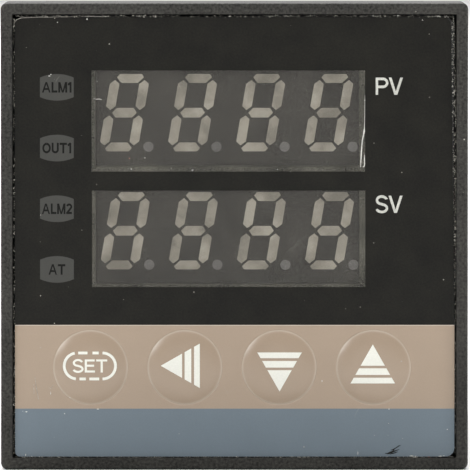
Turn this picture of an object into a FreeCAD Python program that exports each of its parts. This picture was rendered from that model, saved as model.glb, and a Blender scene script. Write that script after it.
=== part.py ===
import FreeCAD, Part
import os
import re
import Sketcher

# Square panel-mounted temperature controller: a moulded case with a front flange and a
# screw terminal block behind, and a chassis of boards that draws out through the front.
#
# Frame, in millimetres: the origin is the centre of the flange's rear face, which seats on
# the panel. +Y goes into the panel, so the front faces -Y. +Z is up, and +X is to the right
# as seen from the front.

doc = FreeCAD.newDocument("temperature_controller")

# ---------------------------------------------------------------- driving dimensions
SIZES = (
    ("tube", 44.8, "case behind the flange, square"),
    ("flange_lip", 1.6, "flange beyond the case, on every side"),
    ("bezel_depth", 10.0, "flange, front to seat"),
    ("bezel_corner", 0.7, "corner radius of the flange"),
    ("bezel_edge", 0.2, "bevel of the flange's front edge"),
    ("rim", 1.2, "flange wall round the recess"),
    ("recess_depth", 8.0, "recess that takes the front panel"),
    ("tube_corner", 1.0, "corner radius of the case"),
    ("tube_length", 88.0, "case behind the flange"),
    ("wall", 1.6, "case wall"),
    ("rail_wide", 1.2, "rib beside a board"),
    ("rail_tall", 1.4, "height of a rib"),
    ("rail_start", 4.0, "first end of the ribs behind the seat"),
    ("rail_play", 0.1, "play of a board between its ribs, each side"),
    ("vent_wide", 1.6, "vent slot in top and bottom"),
    ("vent_length", 14.0, "length of a vent slot"),
    ("vent_pitch", 4.2, "vent slots, side by side"),
    ("vent_start", 20.0, "first row of vents behind the seat"),
    ("vent_row", 30.0, "distance between the rows of vents"),
    ("tooth_pitch", 2.5, "ratchet teeth for the panel clamp"),
    ("tooth_depth", 0.7, "depth of a ratchet tooth"),
    ("tooth_flat", 0.6, "land between two teeth"),
    ("tooth_wide", 8.0, "width of the rack"),
    ("tooth_count", 22, "teeth in one rack"),
    ("rack_start", 12.0, "first tooth behind the seat"),
    ("release_wide", 7.0, "release slot under the flange"),
    ("release_long", 2.6, "release slot, front to back"),
    ("release_from", 3.2, "release slot behind the front of the flange"),
    ("snap_wide", 9.0, "snap lug of the terminal block"),
    ("snap_tall", 0.9, "height of a snap lug"),
    ("snap_long", 1.7, "length of a snap lug"),
    ("snap_play", 0.2, "play of a snap lug in its slot"),
    ("fit", 0.1, "play between plastic parts that plug together"),
    ("round_sides", 12, "sides of a small round form"),
    ("block_depth", 12.0, "terminal block behind the case"),
    ("block_floor", 3.2, "terminal block under the contacts"),
    ("spigot", 4.0, "terminal block inside the case"),
    ("spigot_wall", 1.2, "wall of the spigot"),
    ("terminal_pitch", 8.0, "terminals, one above the other"),
    ("terminal_rows", 5, "terminals in a column"),
    ("barrier", 1.2, "barrier between two terminals"),
    ("pocket_wide", 9.4, "terminal pocket, from the side"),
    ("well", 3.6, "square well for the end of a screw"),
    ("land_depth", 1.5, "sunk middle field of the block"),
    ("land_edge", 3.0, "width of the edge round the sunk field"),
    ("block_vent_wide", 6.0, "vent slot in the block"),
    ("block_vent_tall", 1.8, "height of a vent slot in the block"),
    ("block_vent_pitch", 7.6, "vent slots in the block"),
    ("contact", 0.8, "contact strip thickness"),
    ("contact_reach", 7.4, "contact pad, from blade to edge"),
    ("contact_tall", 6.4, "height of a contact pad"),
    ("blade_tall", 3.0, "height of a contact blade"),
    ("blade_length", 15.0, "contact blade in front of its pad"),
    ("blade_flare", 0.6, "lead-in at the tip of a blade"),
    ("blade_gap", 0.1, "blade beside its board"),
    ("screw", 3.0, "terminal screw, thread diameter"),
    ("screw_play", 0.05, "thread play in the contact pad"),
    ("screw_length", 5.0, "terminal screw under its washer"),
    ("screw_head", 5.5, "screw head diameter"),
    ("screw_head_tall", 2.0, "screw head height"),
    ("screw_slot", 0.9, "cross recess, width of an arm"),
    ("screw_cross", 3.2, "cross recess, tip to tip"),
    ("screw_recess", 1.1, "cross recess, depth"),
    ("washer", 6.2, "square captive washer"),
    ("washer_thick", 0.8, "washer thickness"),
    ("panel_gap", 0.25, "gap between front panel and flange"),
    ("panel_plate", 2.0, "front panel plate"),
    ("panel_skirt", 1.2, "wall behind the front panel's edge"),
    ("panel_corner", 1.0, "corner radius of the front panel"),
    ("film", 0.25, "printed front film"),
    ("film_inset", 0.6, "film face behind the flange front"),
    ("dome_radius", 3.75, "embossed key in the film"),
    ("dome_tall", 0.3, "height of an embossed key"),
    ("dome_shoulder", 0.6, "slope round an embossed key"),
    ("key_margin", 8.0, "outer keys from the front panel's sides"),
    ("key_shift", -0.25, "row of keys from the middle"),
    ("key_rise", 9.05, "keys above the front panel's lower edge"),
    ("key_hole", 5.4, "square opening behind a key"),
    ("module_wide", 27.5, "digit display module"),
    ("module_tall", 11.2, "height of a display module"),
    ("module_depth", 6.1, "depth of a display module"),
    ("module_from_lamps", 17.54, "middle of the modules from the lamps"),
    ("module_play", 0.1, "module in its window, each side"),
    ("module_edge", 0.45, "bevel round the module's face"),
    ("module_wall", 1.0, "wall of the module's shell"),
    ("display_drop", 9.87, "upper display below the front panel's upper edge"),
    ("display_step", 12.14, "lower display below the upper one"),
    ("digit_wide", 4.03, "digit, before its slant"),
    ("digit_tall", 8.03, "digit height"),
    ("digit_pitch", 7.02, "digits, side by side"),
    ("digit_first", -10.6, "first digit from the middle of its module"),
    ("digit_slant", 0.17, "lean of a digit, run over rise"),
    ("stroke", 1.0, "width of a digit's stroke"),
    ("stroke_gap", 0.27, "gap between strokes at their tips"),
    ("stroke_tip", 0.4, "length of a stroke's pointed end"),
    ("point_across", 2.46, "decimal point from its digit"),
    ("point_radius", 0.525, "decimal point"),
    ("lamp_inset", 4.31, "indicator lamps from the front panel's side"),
    ("lamp_drop", 7.25, "top indicator lamp below the front panel's upper edge"),
    ("lamp_pitch", 6.24, "lamps, one above the other"),
    ("lamp_wide", 3.2, "lamp body"),
    ("lamp_tall", 2.4, "height of a lamp body"),
    ("lamp_depth", 5.8, "lamp in front of its board"),
    ("lamp_foot", 0.3, "foot of a lamp beyond its body"),
    ("lamp_play", 0.15, "lamp in its light well"),
    ("lamp_well_wall", 0.6, "wall of a light well"),
    ("lamp_well_depth", 2.2, "light well behind the plate"),
    ("board", 1.6, "printed circuit board"),
    ("board_play", 0.4, "edge of a board to the case wall"),
    ("board_end", 0.5, "long board in front of the terminal block"),
    ("board_inset", 9.4, "middle of a long board from the side of the case"),
    ("post", 3.0, "square post that carries the display board"),
    ("post_length", 4.35, "length of such a post"),
    ("hook_wide", 5.0, "snap hook over the display board"),
    ("hook_thick", 1.2, "arm of a snap hook"),
    ("hook_lip", 0.6, "lip of a snap hook"),
    ("hook_play", 0.05, "play of a hook round the board"),
    ("tongue_wide", 8.0, "release tongue in the front panel's skirt"),
    ("tongue_slit", 0.6, "slit beside the tongue"),
    ("tongue_long", 4.4, "length of the tongue"),
    ("tongue_ridge", 0.2, "ridge on the tongue"),
    ("switch_size", 6.0, "key switch, square"),
    ("switch_depth", 3.4, "key switch body"),
    ("switch_floor", 0.6, "floor of a key switch"),
    ("switch_wall", 0.7, "wall of a key switch"),
    ("switch_cover", 0.3, "steel cover of a key switch"),
    ("plunger", 3.5, "key plunger diameter"),
    ("plunger_play", 0.08, "plunger in its cover, radial"),
    ("plunger_reach", 2.8, "plunger in front of its cover"),
    ("plunger_foot", 0.8, "foot of a plunger, thickness"),
    ("plunger_foot_play", 0.05, "foot of a plunger to its walls"),
    ("plunger_nub", 1.4, "square nub that presses the spring"),
    ("spring", 0.1, "spring leaf thickness"),
    ("spring_wide", 2.4, "spring leaf width"),
    ("spring_rise", 0.6, "arch of a spring leaf"),
    ("header_wide", 2.5, "pin header, square in section"),
    ("header_pitch", 2.54, "pins of a header"),
    ("core_long", 20.0, "transformer core, front to back"),
    ("core_tall", 18.0, "transformer core, height"),
    ("core_stack", 10.4, "transformer core, thickness"),
    ("core_limb", 2.5, "outer limb of the core"),
    ("core_before", 43.5, "front of the transformer before the board's rear end"),
    ("core_rise", 12.4, "transformer above its board's lower edge"),
    ("coil_wall", 1.9, "bobbin flange outside the core's thickness"),
    ("coil_play", 0.1, "bobbin round the core"),
    ("bobbin_wall", 0.7, "wall and flanges of the bobbin"),
    ("winding_step", 0.4, "coil inside the edge of the bobbin's flanges"),
    ("bulk_radius", 5.0, "bulk capacitor"),
    ("bulk_tall", 16.0, "height of the bulk capacitor"),
    ("bulk_behind", 24.0, "bulk capacitor behind the seat"),
    ("cap_drop", 9.4, "capacitors below their board's upper edge"),
    ("output_cap_radius", 3.15, "output capacitor"),
    ("output_cap_tall", 11.5, "height of the output capacitor"),
    ("output_cap_behind", 54.5, "output capacitor behind the seat"),
    ("film_cap_long", 13.0, "film capacitor"),
    ("film_cap_thick", 5.0, "thickness of the film capacitor"),
    ("film_cap_tall", 11.0, "height of the film capacitor"),
    ("film_cap_behind", 36.0, "film capacitor behind the seat"),
    ("varistor_radius", 5.0, "varistor disc"),
    ("varistor_thick", 4.0, "varistor thickness"),
    ("varistor_before", 23.5, "front of the varistor before the board's rear end"),
    ("lead", 0.6, "square lead of a component"),
    ("lead_length", 1.2, "lead between board and body"),
    ("lead_pitch", 5.0, "leads of a component"),
    ("fuse_long", 8.5, "fuse body"),
    ("fuse_thick", 4.0, "fuse thickness"),
    ("fuse_tall", 8.0, "fuse height"),
    ("fuse_before", 15.5, "front of the fuse before the board's rear end"),
    ("relay_long", 19.2, "relay"),
    ("relay_wide", 15.5, "relay width"),
    ("relay_tall", 15.3, "relay height"),
    ("relay_rise", 10.4, "relays above their board's lower edge"),
    ("relay_edge", 0.6, "bevel round a relay's top"),
    ("alarm_behind", 10.0, "alarm relay behind the seat"),
    ("output_before", 22.5, "front of the output relay before the board's rear end"),
    ("chip_long", 20.0, "controller chip"),
    ("chip_wide", 7.6, "controller chip width"),
    ("chip_thick", 3.0, "controller chip thickness"),
    ("chip_behind", 30.0, "controller chip behind the seat"),
    ("chip_legs", 5, "legs on one side of the chip"),
    ("leg_pitch", 3.6, "chip legs"),
    ("leg_wide", 0.6, "width of a chip leg"),
    ("leg_reach", 0.9, "chip leg beyond the body"),
    ("chip_stand", 0.5, "chip body above its board"),
    ("coupler_long", 4.6, "optocoupler"),
    ("coupler_before", 23.5, "front of the optocoupler before the board's rear end"),
)
sheet = doc.addObject("Spreadsheet::Sheet", "Sizes")
for row, (alias, number, meaning) in enumerate(SIZES, start=1):
    sheet.set("A%d" % row, meaning)
    sheet.set("B%d" % row, str(number))
    sheet.setAlias("B%d" % row, alias)
doc.recompute()
ALIASES = {alias for alias, number, meaning in SIZES}

# Levels along Y, as expressions of the sizes above
RIM_FRONT = "(-bezel_depth)"
RECESS_FLOOR = "(recess_depth - bezel_depth)"
FILM_FRONT = "(film_inset - bezel_depth)"
FILM_BACK = "(film_inset + film - bezel_depth)"
PLATE_BACK = "(film_inset + film + panel_plate - bezel_depth)"
BOARD_FRONT = "(%s + post_length)" % PLATE_BACK
BOARD_BACK = "(%s + board)" % BOARD_FRONT
BOARD_REAR = "(tube_length - spigot - board_end)"
MODULE_FACE = "(%s - module_depth)" % BOARD_FRONT
SWITCH_FRONT = "(%s - switch_depth)" % BOARD_FRONT
COVER_FRONT = "(%s - switch_cover)" % SWITCH_FRONT
PAD_FRONT = "(tube_length + block_floor)"
BLOCK_REAR = "(tube_length + block_depth)"
BEZEL = "(tube + 2*flange_lip)"
RECESS = "(%s - 2*rim)" % BEZEL
PANEL = "(%s - 2*panel_gap)" % RECESS
CAVITY = "(tube - 2*wall)"
BOARD_TALL = "(%s - 2*board_play)" % CAVITY
BOARD_ACROSS = "(tube/2 - board_inset)"
CAP_HEIGHT = "(%s/2 - cap_drop)" % BOARD_TALL

# Keys and indicator lamps, named for what they do, and their places on the front. The lamps
# stand in a column at the left and the keys in a row below the displays.
KEYS = ("set", "shift", "down", "up")
LAMPS = ("alarm_1", "output", "alarm_2", "tuning")
LAMP_ACROSS = "(lamp_inset - %s/2)" % PANEL
LAMP_SPOTS = ["(%s/2 - lamp_drop - %d*lamp_pitch)" % (PANEL, i) for i in range(len(LAMPS))]
MODULE_ACROSS = "(%s + module_from_lamps)" % LAMP_ACROSS
PV_HEIGHT = "(%s/2 - display_drop)" % PANEL
SV_HEIGHT = "(%s - display_step)" % PV_HEIGHT
KEY_HEIGHT = "(key_rise - %s/2)" % PANEL
KEY_PITCH = "((%s - 2*key_margin)/%d)" % (PANEL, len(KEYS) - 1)
KEY_SPOTS = ["(key_margin + key_shift - %s/2 + %d*%s)" % (PANEL, i, KEY_PITCH)
             for i in range(len(KEYS))]


# ---------------------------------------------------------------- building tools
def bound(expression):
    """The expression with each size written as its cell in the sheet."""
    named = lambda word: "Sizes." + word.group() if word.group() in ALIASES else word.group()
    return re.sub(r"[a-z][a-z_]*", named, str(expression))


def value(expression):
    return float(sheet.evalExpression(bound(expression)))


def tie(item, quality, expression):
    item.setExpression(quality, bound(expression))


def body(label):
    item = doc.addObject("PartDesign::Body", label)
    item.Label = label
    return item


def origin_feature(owner, role):
    return [item for item in owner.Origin.OriginFeatures if item.Role == role][0]


def rect(left, low, right, high):
    return [(left, low), (right, low), (right, high), (left, high)]


def centred(across, up, wide, tall):
    left = "(%s) - (%s)/2" % (across, wide)
    low = "(%s) - (%s)/2" % (up, tall)
    return rect(left, low, "%s + (%s)" % (left, wide), "%s + (%s)" % (low, tall))


def square(size):
    return centred("0", "0", size, size)


def near_round(across, up, radius):
    """A small round outline drawn with a few flats, as wide across flats as the true round."""
    corner = "(%s)/cos(180/round_sides)" % radius
    turns = ["(%d*360 + 180)/round_sides" % i for i in range(int(value("round_sides")))]
    return [("%s + %s*cos(%s)" % (across, corner, turn), "%s + %s*sin(%s)" % (up, corner, turn))
            for turn in turns]


# Along Y a sketch shows X and Z, along Z it shows X and Y, and along X it shows Y and Z.
# The first plane's normal points to -Y, so its features are turned round.
PLANES = {"Y": ("XZ_Plane", -1), "Z": ("XY_Plane", 1), "X": ("YZ_Plane", 1)}


def attach(item, owner, along, level):
    role, sign = PLANES[along]
    item.AttachmentSupport = (origin_feature(owner, role), [""])
    item.MapMode = "FlatFace"
    tie(item, "AttachmentOffset.Base.z", "%d*(%s)" % (sign, level))


def sketch(owner, along, level, loops, circles):
    """Closed outlines and circles on one of the body's planes, each point tied to the sheet."""
    item = owner.newObject("Sketcher::SketchObject", owner.Label + "_sketch")
    attach(item, owner, along, level)
    for points in loops:
        first = item.GeometryCount
        count = len(points)
        spots = [FreeCAD.Vector(value(x), value(y), 0) for x, y in points]
        lines = [Part.LineSegment(spots[i], spots[(i + 1) % count]) for i in range(count)]
        item.addGeometry(lines, False)
        joins = [Sketcher.Constraint("Coincident", first + i, 2, first + (i + 1) % count, 1)
                 for i in range(count)]
        item.addConstraint(joins)
        for i, (x, y) in enumerate(points):
            pin(item, "DistanceX", first + i, 1, x, spots[i].x)
            pin(item, "DistanceY", first + i, 1, y, spots[i].y)
    for x, y, radius in circles:
        centre = FreeCAD.Vector(value(x), value(y), 0)
        ring = item.addGeometry(Part.Circle(centre, FreeCAD.Vector(0, 0, 1), value(radius)), False)
        pin(item, "DistanceX", ring, 3, x, centre.x)
        pin(item, "DistanceY", ring, 3, y, centre.y)
        number = item.addConstraint(Sketcher.Constraint("Radius", ring, value(radius)))
        tie(item, "Constraints[%d]" % number, radius)
    return item


def pin(item, kind, geometry, point, expression, start):
    """Hold one point of a sketch at a distance from its origin."""
    number = item.addConstraint(Sketcher.Constraint(kind, -1, 1, geometry, point, start))
    tie(item, "Constraints[%d]" % number, expression)


def extrude(kind, owner, along, start, length, loops, circles):
    """Pad or pocket from one level towards +X, +Y or +Z."""
    sign = PLANES[along][1]
    profile = sketch(owner, along, start, loops, circles)
    item = owner.newObject("PartDesign::" + kind, "%s_%s" % (owner.Label, kind.lower()))
    item.Profile = profile
    tie(item, "Length", length)
    item.Reversed = (sign < 0) == (kind == "Pad")
    return item


def pad(owner, along, start, length, loops=(), circles=()):
    return extrude("Pad", owner, along, start, length, loops, circles)


def cut(owner, along, start, length, loops=(), circles=()):
    return extrude("Pocket", owner, along, start, length, loops, circles)


def repeat(owner, features, role, spacing, count, backwards=False):
    """Repeat features along one of the body's axes, or the whole body when none is named."""
    item = owner.newObject("PartDesign::LinearPattern", owner.Label + "_pattern")
    if features:
        item.Originals = features
    else:
        item.TransformMode = "Whole shape"
    item.Direction = (origin_feature(owner, role), [""])
    item.Mode = "Spacing"
    item.Reversed = backwards
    tie(item, "Offset", spacing)
    tie(item, "Occurrences", count)
    owner.Tip = item
    return item


def dome(owner, level, across, up, radius, top, length):
    """A low cone on a level of the front, narrower towards -Y."""
    item = owner.newObject("PartDesign::AdditiveCone", owner.Label + "_dome")
    attach(item, owner, "Y", level)
    tie(item, "AttachmentOffset.Base.x", across)
    tie(item, "AttachmentOffset.Base.y", up)
    tie(item, "Radius1", radius)
    tie(item, "Radius2", top)
    tie(item, "Height", length)
    return item


def edge_names(shape, test):
    return ["Edge%d" % (i + 1) for i, edge in enumerate(shape.Edges) if test(edge)]


def is_corner(half, near, far):
    """A test for the edges along Y at the corners of a square, between two levels."""
    reach = value(half)
    ends = value(near), value(far)

    def test(edge):
        box = edge.BoundBox
        on_corner = abs(abs(box.Center.x) - reach) < 0.01 and abs(abs(box.Center.z) - reach) < 0.01
        return on_corner and ends[0] - 0.01 < box.Center.y < ends[1] + 0.01
    return test


def is_level(level, along="Y"):
    """A test for the edges that lie in one level along X, Y or Z."""
    height = value(level)

    def test(edge):
        box = edge.BoundBox
        low = getattr(box, along + "Min")
        high = getattr(box, along + "Max")
        return abs(low - height) < 0.001 and abs(high - height) < 0.001
    return test


def dress(kind, owner, size, test):
    """Fillet or Chamfer on the edges of the body's last feature that pass the test."""
    doc.recompute()
    base = owner.Tip
    names = edge_names(base.Shape, test)
    item = owner.newObject("PartDesign::" + kind, "%s_%s" % (owner.Label, kind.lower()))
    item.Base = (base, names)
    tie(item, "Radius" if kind == "Fillet" else "Size", size)
    return item


# ---------------------------------------------------------------- case housing
# One moulding: a flange with a recess for the front panel, and a square tube behind it with
# board rails, vents, ratchet racks for the panel clamp and slots for the terminal block.
case = body("case_housing")
pad(case, "Y", RIM_FRONT, "bezel_depth", [square(BEZEL)])
dress("Fillet", case, "bezel_corner", is_corner(BEZEL + "/2", RIM_FRONT, "0"))
dress("Chamfer", case, "bezel_edge", is_level(RIM_FRONT))
pad(case, "Y", "0", "tube_length", [square("tube")])
dress("Fillet", case, "tube_corner", is_corner("tube/2", "0", "tube_length"))
cut(case, "Y", RIM_FRONT, "recess_depth", [square(RECESS)])
cut(case, "Y", RECESS_FLOOR, "tube_length - %s" % RECESS_FLOOR, [square(CAVITY)])

rails = []
for side in (-1, 1):
    for beside in (-1, 1):
        offset = "%d*(board/2 + rail_play + rail_wide/2)" % beside
        across = "%d*%s + %s" % (side, BOARD_ACROSS, offset)
        for level in (-1, 1):
            up = "%d*(%s/2 - rail_tall/2)" % (level, CAVITY)
            rails.append(centred(across, up, "rail_wide", "rail_tall"))
RAIL_END = "(tube_length - spigot - snap_play)"
pad(case, "Y", "rail_start", "%s - rail_start" % RAIL_END, rails)

vents = []
for row in range(2):
    for column in range(4):
        across = "vent_pitch*(%d - 1.5)" % column
        behind = "vent_start + %d*vent_row" % row
        vents.append(centred(across, behind, "vent_wide", "vent_length"))
cut(case, "Z", "-tube/2", "tube", vents)

teeth = []
for side in (-1, 1):
    surface = "%d*tube/2" % side
    bottom = "%d*(tube/2 - tooth_depth)" % side
    end = "rack_start + tooth_pitch - tooth_flat"
    teeth.append([(surface, "rack_start"), (surface, end), (bottom, end)])
tooth = cut(case, "Z", "-tooth_wide/2", "tooth_wide", teeth)
repeat(case, [tooth], "Y_Axis", "tooth_pitch", "tooth_count")

RELEASE_FROM = "(release_from - bezel_depth)"
cut(case, "Z", "-%s/2" % BEZEL, "rim",
    [rect("-release_wide/2", RELEASE_FROM, "release_wide/2", RELEASE_FROM + " + release_long")])

SNAP_MIDDLE = "(tube_length - spigot/2)"
cut(case, "X", "-tube/2", "tube",
    [centred(SNAP_MIDDLE, "0", "snap_long + 2*snap_play", "snap_wide + 2*snap_play")])

# ---------------------------------------------------------------- terminal block
# Plugs into the back of the case. Each terminal sits between barriers, open to its side and
# to the rear, over a well for the end of its screw and a slot for its blade.
BLADE = "(%s + board/2 + blade_gap)" % BOARD_ACROSS
SCREW_ACROSS = "(%s + contact/2 + contact_reach/2)" % BLADE
TERMINAL_TOP = "(terminal_pitch*(terminal_rows - 1)/2)"

block = body("terminal_block")
pad(block, "Y", "tube_length", "block_depth", [square("tube")])
dress("Fillet", block, "tube_corner", is_corner("tube/2", "tube_length", BLOCK_REAR))
SPIGOT = "(%s - 2*fit)" % CAVITY
pad(block, "Y", "tube_length - spigot", "spigot", [square(SPIGOT), square(SPIGOT + " - 2*spigot_wall")])
pockets = []
wells = []
slots = []
for side in (-1, 1):
    inner = "%d*(tube/2 - pocket_wide)" % side
    outer = "%d*tube/2" % side
    low = TERMINAL_TOP + " - (terminal_pitch - barrier)/2"
    high = TERMINAL_TOP + " + (terminal_pitch - barrier)/2"
    pockets.append(rect(inner, low, outer, high))
    wells.append(centred("%d*%s" % (side, SCREW_ACROSS), TERMINAL_TOP, "well", "well"))
    slots.append(centred("%d*(%s + contact/2)" % (side, BLADE), TERMINAL_TOP,
                         "contact + 2*fit", "blade_tall + 2*fit"))
pocket = cut(block, "Y", PAD_FRONT, "block_depth - block_floor", pockets)
holes = cut(block, "Y", "tube_length", "block_floor", wells + slots)
repeat(block, [pocket, holes], "Z_Axis", "terminal_pitch", "terminal_rows", backwards=True)

LAND = "(tube - 2*pocket_wide - 2*land_edge)"
cut(block, "Y", BLOCK_REAR + " - land_depth", "land_depth",
    [centred("0", "0", LAND, "tube - 2*land_edge")])
block_vents = []
for column in (-0.5, 0.5):
    for row in (-1.5, -0.5, 0.5, 1.5):
        across = "%s*(block_vent_wide + land_depth)" % column
        up = "%s*block_vent_pitch" % row
        block_vents.append(centred(across, up, "block_vent_wide", "block_vent_tall"))
cut(block, "Y", "tube_length", "block_depth - land_depth", block_vents)

lugs = []
for side in (-1, 1):
    root = "%d*%s/2" % (side, SPIGOT)
    crest = "%d*(%s/2 + snap_tall)" % (side, SPIGOT)
    start = SNAP_MIDDLE + " - snap_long/2"
    stop = SNAP_MIDDLE + " + snap_long/2"
    lugs.append([(root, start), (crest, stop + " - snap_long/4"), (crest, stop), (root, stop)])
pad(block, "Z", "-snap_wide/2", "snap_wide", lugs)


# ---------------------------------------------------------------- terminals
# Bent brass strips: a pad under each screw, and a blade that runs forward beside a board's
# edge. The left column holds terminals 1 to 5, the right one 6 to 10.
def terminal_contact(number):
    side = -1 if number <= 5 else 1
    up = "(%s - terminal_pitch*%d)" % (TERMINAL_TOP, (number - 1) % 5)
    strip = body("terminal_contact_%d" % number)
    edge = "%d*(%s + contact + contact_reach)" % (side, BLADE)
    low = "%s - contact_tall/2" % up
    pad(strip, "Y", PAD_FRONT, "contact",
        [rect("%d*%s" % (side, BLADE), low, edge, "%s + contact_tall/2" % up),
         near_round("%d*%s" % (side, SCREW_ACROSS), up, "screw/2 + screw_play")])
    near = "%d*%s" % (side, BLADE)
    far = "%d*(%s + contact)" % (side, BLADE)
    near_tip = "%d*(%s + blade_flare)" % (side, BLADE)
    far_tip = "%d*(%s + blade_flare + contact)" % (side, BLADE)
    bend = PAD_FRONT + " - blade_length + 2*contact"
    tip = PAD_FRONT + " - blade_length"
    outline = [(near, PAD_FRONT), (near, bend), (near_tip, tip), (far_tip, tip), (far, bend),
               (far, PAD_FRONT)]
    pad(strip, "Z", "%s - blade_tall/2" % up, "blade_tall", [outline])


for number in range(1, 11):
    terminal_contact(number)

# Pan-head screws with cross recesses and captive square washers, alike at all terminals
screws = body("terminal_screws")
WASHER_FRONT = "(%s + contact)" % PAD_FRONT
HEAD_FRONT = "(%s + washer_thick)" % WASHER_FRONT
HEAD_REAR = "(%s + screw_head_tall)" % HEAD_FRONT
here = (SCREW_ACROSS, TERMINAL_TOP)
pad(screws, "Y", WASHER_FRONT, "washer_thick", [centred(here[0], here[1], "washer", "washer")])
pad(screws, "Y", WASHER_FRONT + " - screw_length", "screw_length", [near_round(*here, "screw/2")])
pad(screws, "Y", HEAD_FRONT, "screw_head_tall", [near_round(*here, "screw_head/2")])
cut(screws, "Y", HEAD_REAR + " - screw_recess", "screw_recess",
    [centred(here[0], here[1], "screw_cross", "screw_slot")])
cut(screws, "Y", HEAD_REAR + " - screw_recess", "screw_recess",
    [centred(here[0], here[1], "screw_slot", "screw_cross")])
repeat(screws, [], "Z_Axis", "terminal_pitch", "terminal_rows", backwards=True)
both_columns = screws.newObject("PartDesign::Mirrored", "terminal_screws_mirror")
both_columns.TransformMode = "Whole shape"
both_columns.MirrorPlane = (origin_feature(screws, "YZ_Plane"), [""])
screws.Tip = both_columns

# ---------------------------------------------------------------- front panel
# Moulded plate with a skirt that stops on the recess floor, windows for the displays, light
# wells for the lamps, key openings, posts and hooks for the display board, and a release
# tongue at the bottom.
WELL_WIDE = "(lamp_wide + 2*lamp_play)"
WELL_TALL = "(lamp_tall + 2*lamp_play)"

panel = body("front_panel")
openings = [centred(MODULE_ACROSS, up, "module_wide + 2*module_play", "module_tall + 2*module_play")
            for up in (PV_HEIGHT, SV_HEIGHT)]
openings += [centred(LAMP_ACROSS, up, WELL_WIDE, WELL_TALL) for up in LAMP_SPOTS]
openings += [centred(across, KEY_HEIGHT, "key_hole", "key_hole") for across in KEY_SPOTS]
pad(panel, "Y", FILM_BACK, "panel_plate", [square(PANEL)] + openings)
pad(panel, "Y", PLATE_BACK, "%s - %s" % (RECESS_FLOOR, PLATE_BACK),
    [square(PANEL), square(PANEL + " - 2*panel_skirt")])
dress("Fillet", panel, "panel_corner", is_corner(PANEL + "/2", FILM_BACK, RECESS_FLOOR))
light_wells = []
for up in LAMP_SPOTS:
    light_wells.append(centred(LAMP_ACROSS, up, WELL_WIDE, WELL_TALL))
    light_wells.append(centred(LAMP_ACROSS, up, WELL_WIDE + " + 2*lamp_well_wall",
                               WELL_TALL + " + 2*lamp_well_wall"))
pad(panel, "Y", PLATE_BACK, "lamp_well_depth", light_wells)
POST = "(%s/2 - post/2)" % BOARD_TALL
posts = [centred("%d*%s" % (side, POST), "%d*%s" % (level, POST), "post", "post")
         for side in (-1, 1) for level in (-1, 1)]
pad(panel, "Y", PLATE_BACK, "post_length", posts)
hooks = []
for level in (-1, 1):
    inner = "%d*(%s/2 - hook_thick)" % (level, BOARD_TALL)
    outer = "%d*%s/2" % (level, BOARD_TALL)
    lip = "%d*(%s/2 - hook_thick - hook_lip)" % (level, BOARD_TALL)
    catch = BOARD_BACK + " + hook_play"
    nose = catch + " + hook_lip"
    hooks.append([(PLATE_BACK, inner), (catch, inner), (catch, lip), (nose, inner), (nose, outer),
                  (PLATE_BACK, outer)])
pad(panel, "X", "-hook_wide/2", "hook_wide", hooks)
slits = [centred("%d*(tongue_wide + tongue_slit)/2" % side, RECESS_FLOOR + " - tongue_long/2",
                 "tongue_slit", "tongue_long") for side in (-1, 1)]
cut(panel, "Z", "-%s/2" % PANEL, "panel_skirt", slits)
RIDGE_BACK = RELEASE_FROM + " + release_long - tongue_ridge"
ridge = [(RIDGE_BACK, "-%s/2" % PANEL), (RIDGE_BACK, "-%s/2 - tongue_ridge" % PANEL),
         (RIDGE_BACK + " - 5*tongue_ridge", "-%s/2" % PANEL)]
pad(panel, "X", "-release_wide/2 + tongue_slit", "release_wide - 2*tongue_slit", [ridge])

# Printed polyester film over the whole front, embossed over each key
film = body("front_film")
pad(film, "Y", FILM_FRONT, "film", [square(PANEL)])
dress("Fillet", film, "panel_corner", is_corner(PANEL + "/2", FILM_FRONT, FILM_BACK))
for across in KEY_SPOTS:
    crown = "dome_radius - dome_shoulder"
    dome(film, FILM_FRONT, across, KEY_HEIGHT, "dome_radius", crown, "dome_tall")
    cut(film, "Y", FILM_FRONT + " - dome_tall/2", "film + dome_tall/2",
        [near_round(across, KEY_HEIGHT, crown + " - film")])


# ---------------------------------------------------------------- digit displays
# Each module is a shell with a light cavity for every stroke and point, bevelled round its
# face, and a resin block behind the face.
def stroke(across, up, half_long, upright):
    """Hexagon of one stroke, its tips on its long axis, leaning with the digit."""
    long_end = half_long
    shoulder = "(%s - stroke_tip)" % half_long
    ring = [("-" + long_end, "0"), ("-" + shoulder, "stroke/2"), (shoulder, "stroke/2"),
            (long_end, "0"), (shoulder, "-stroke/2"), ("-" + shoulder, "-stroke/2")]
    if upright:
        ring = [(v, u) for u, v in ring]
    return [(across + " + (%s)" % u, up + " + (%s)" % v) for u, v in ring]


def digit_strokes(centre_up):
    """The seven strokes of the first digit, in the front's X and Z."""
    side = "(digit_wide/2 - stroke/2)"
    top = "(digit_tall/2 - stroke/2)"
    flat = "(%s - stroke_gap/2)" % side
    tall = "(%s/2 - stroke_gap/2 - stroke_gap/4)" % top
    strokes = [stroke("0", "%d*%s" % (level, top), flat, False) for level in (-1, 0, 1)]
    strokes += [stroke("%d*%s" % (turn, side), "%d*%s/2" % (level, top), tall, True)
                for turn in (-1, 1) for level in (-1, 1)]
    first = MODULE_ACROSS + " + digit_first"
    return [[("%s + (%s) + digit_slant*(%s)" % (first, u, v), "%s + (%s)" % (centre_up, v))
             for u, v in points] for points in strokes]


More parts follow.
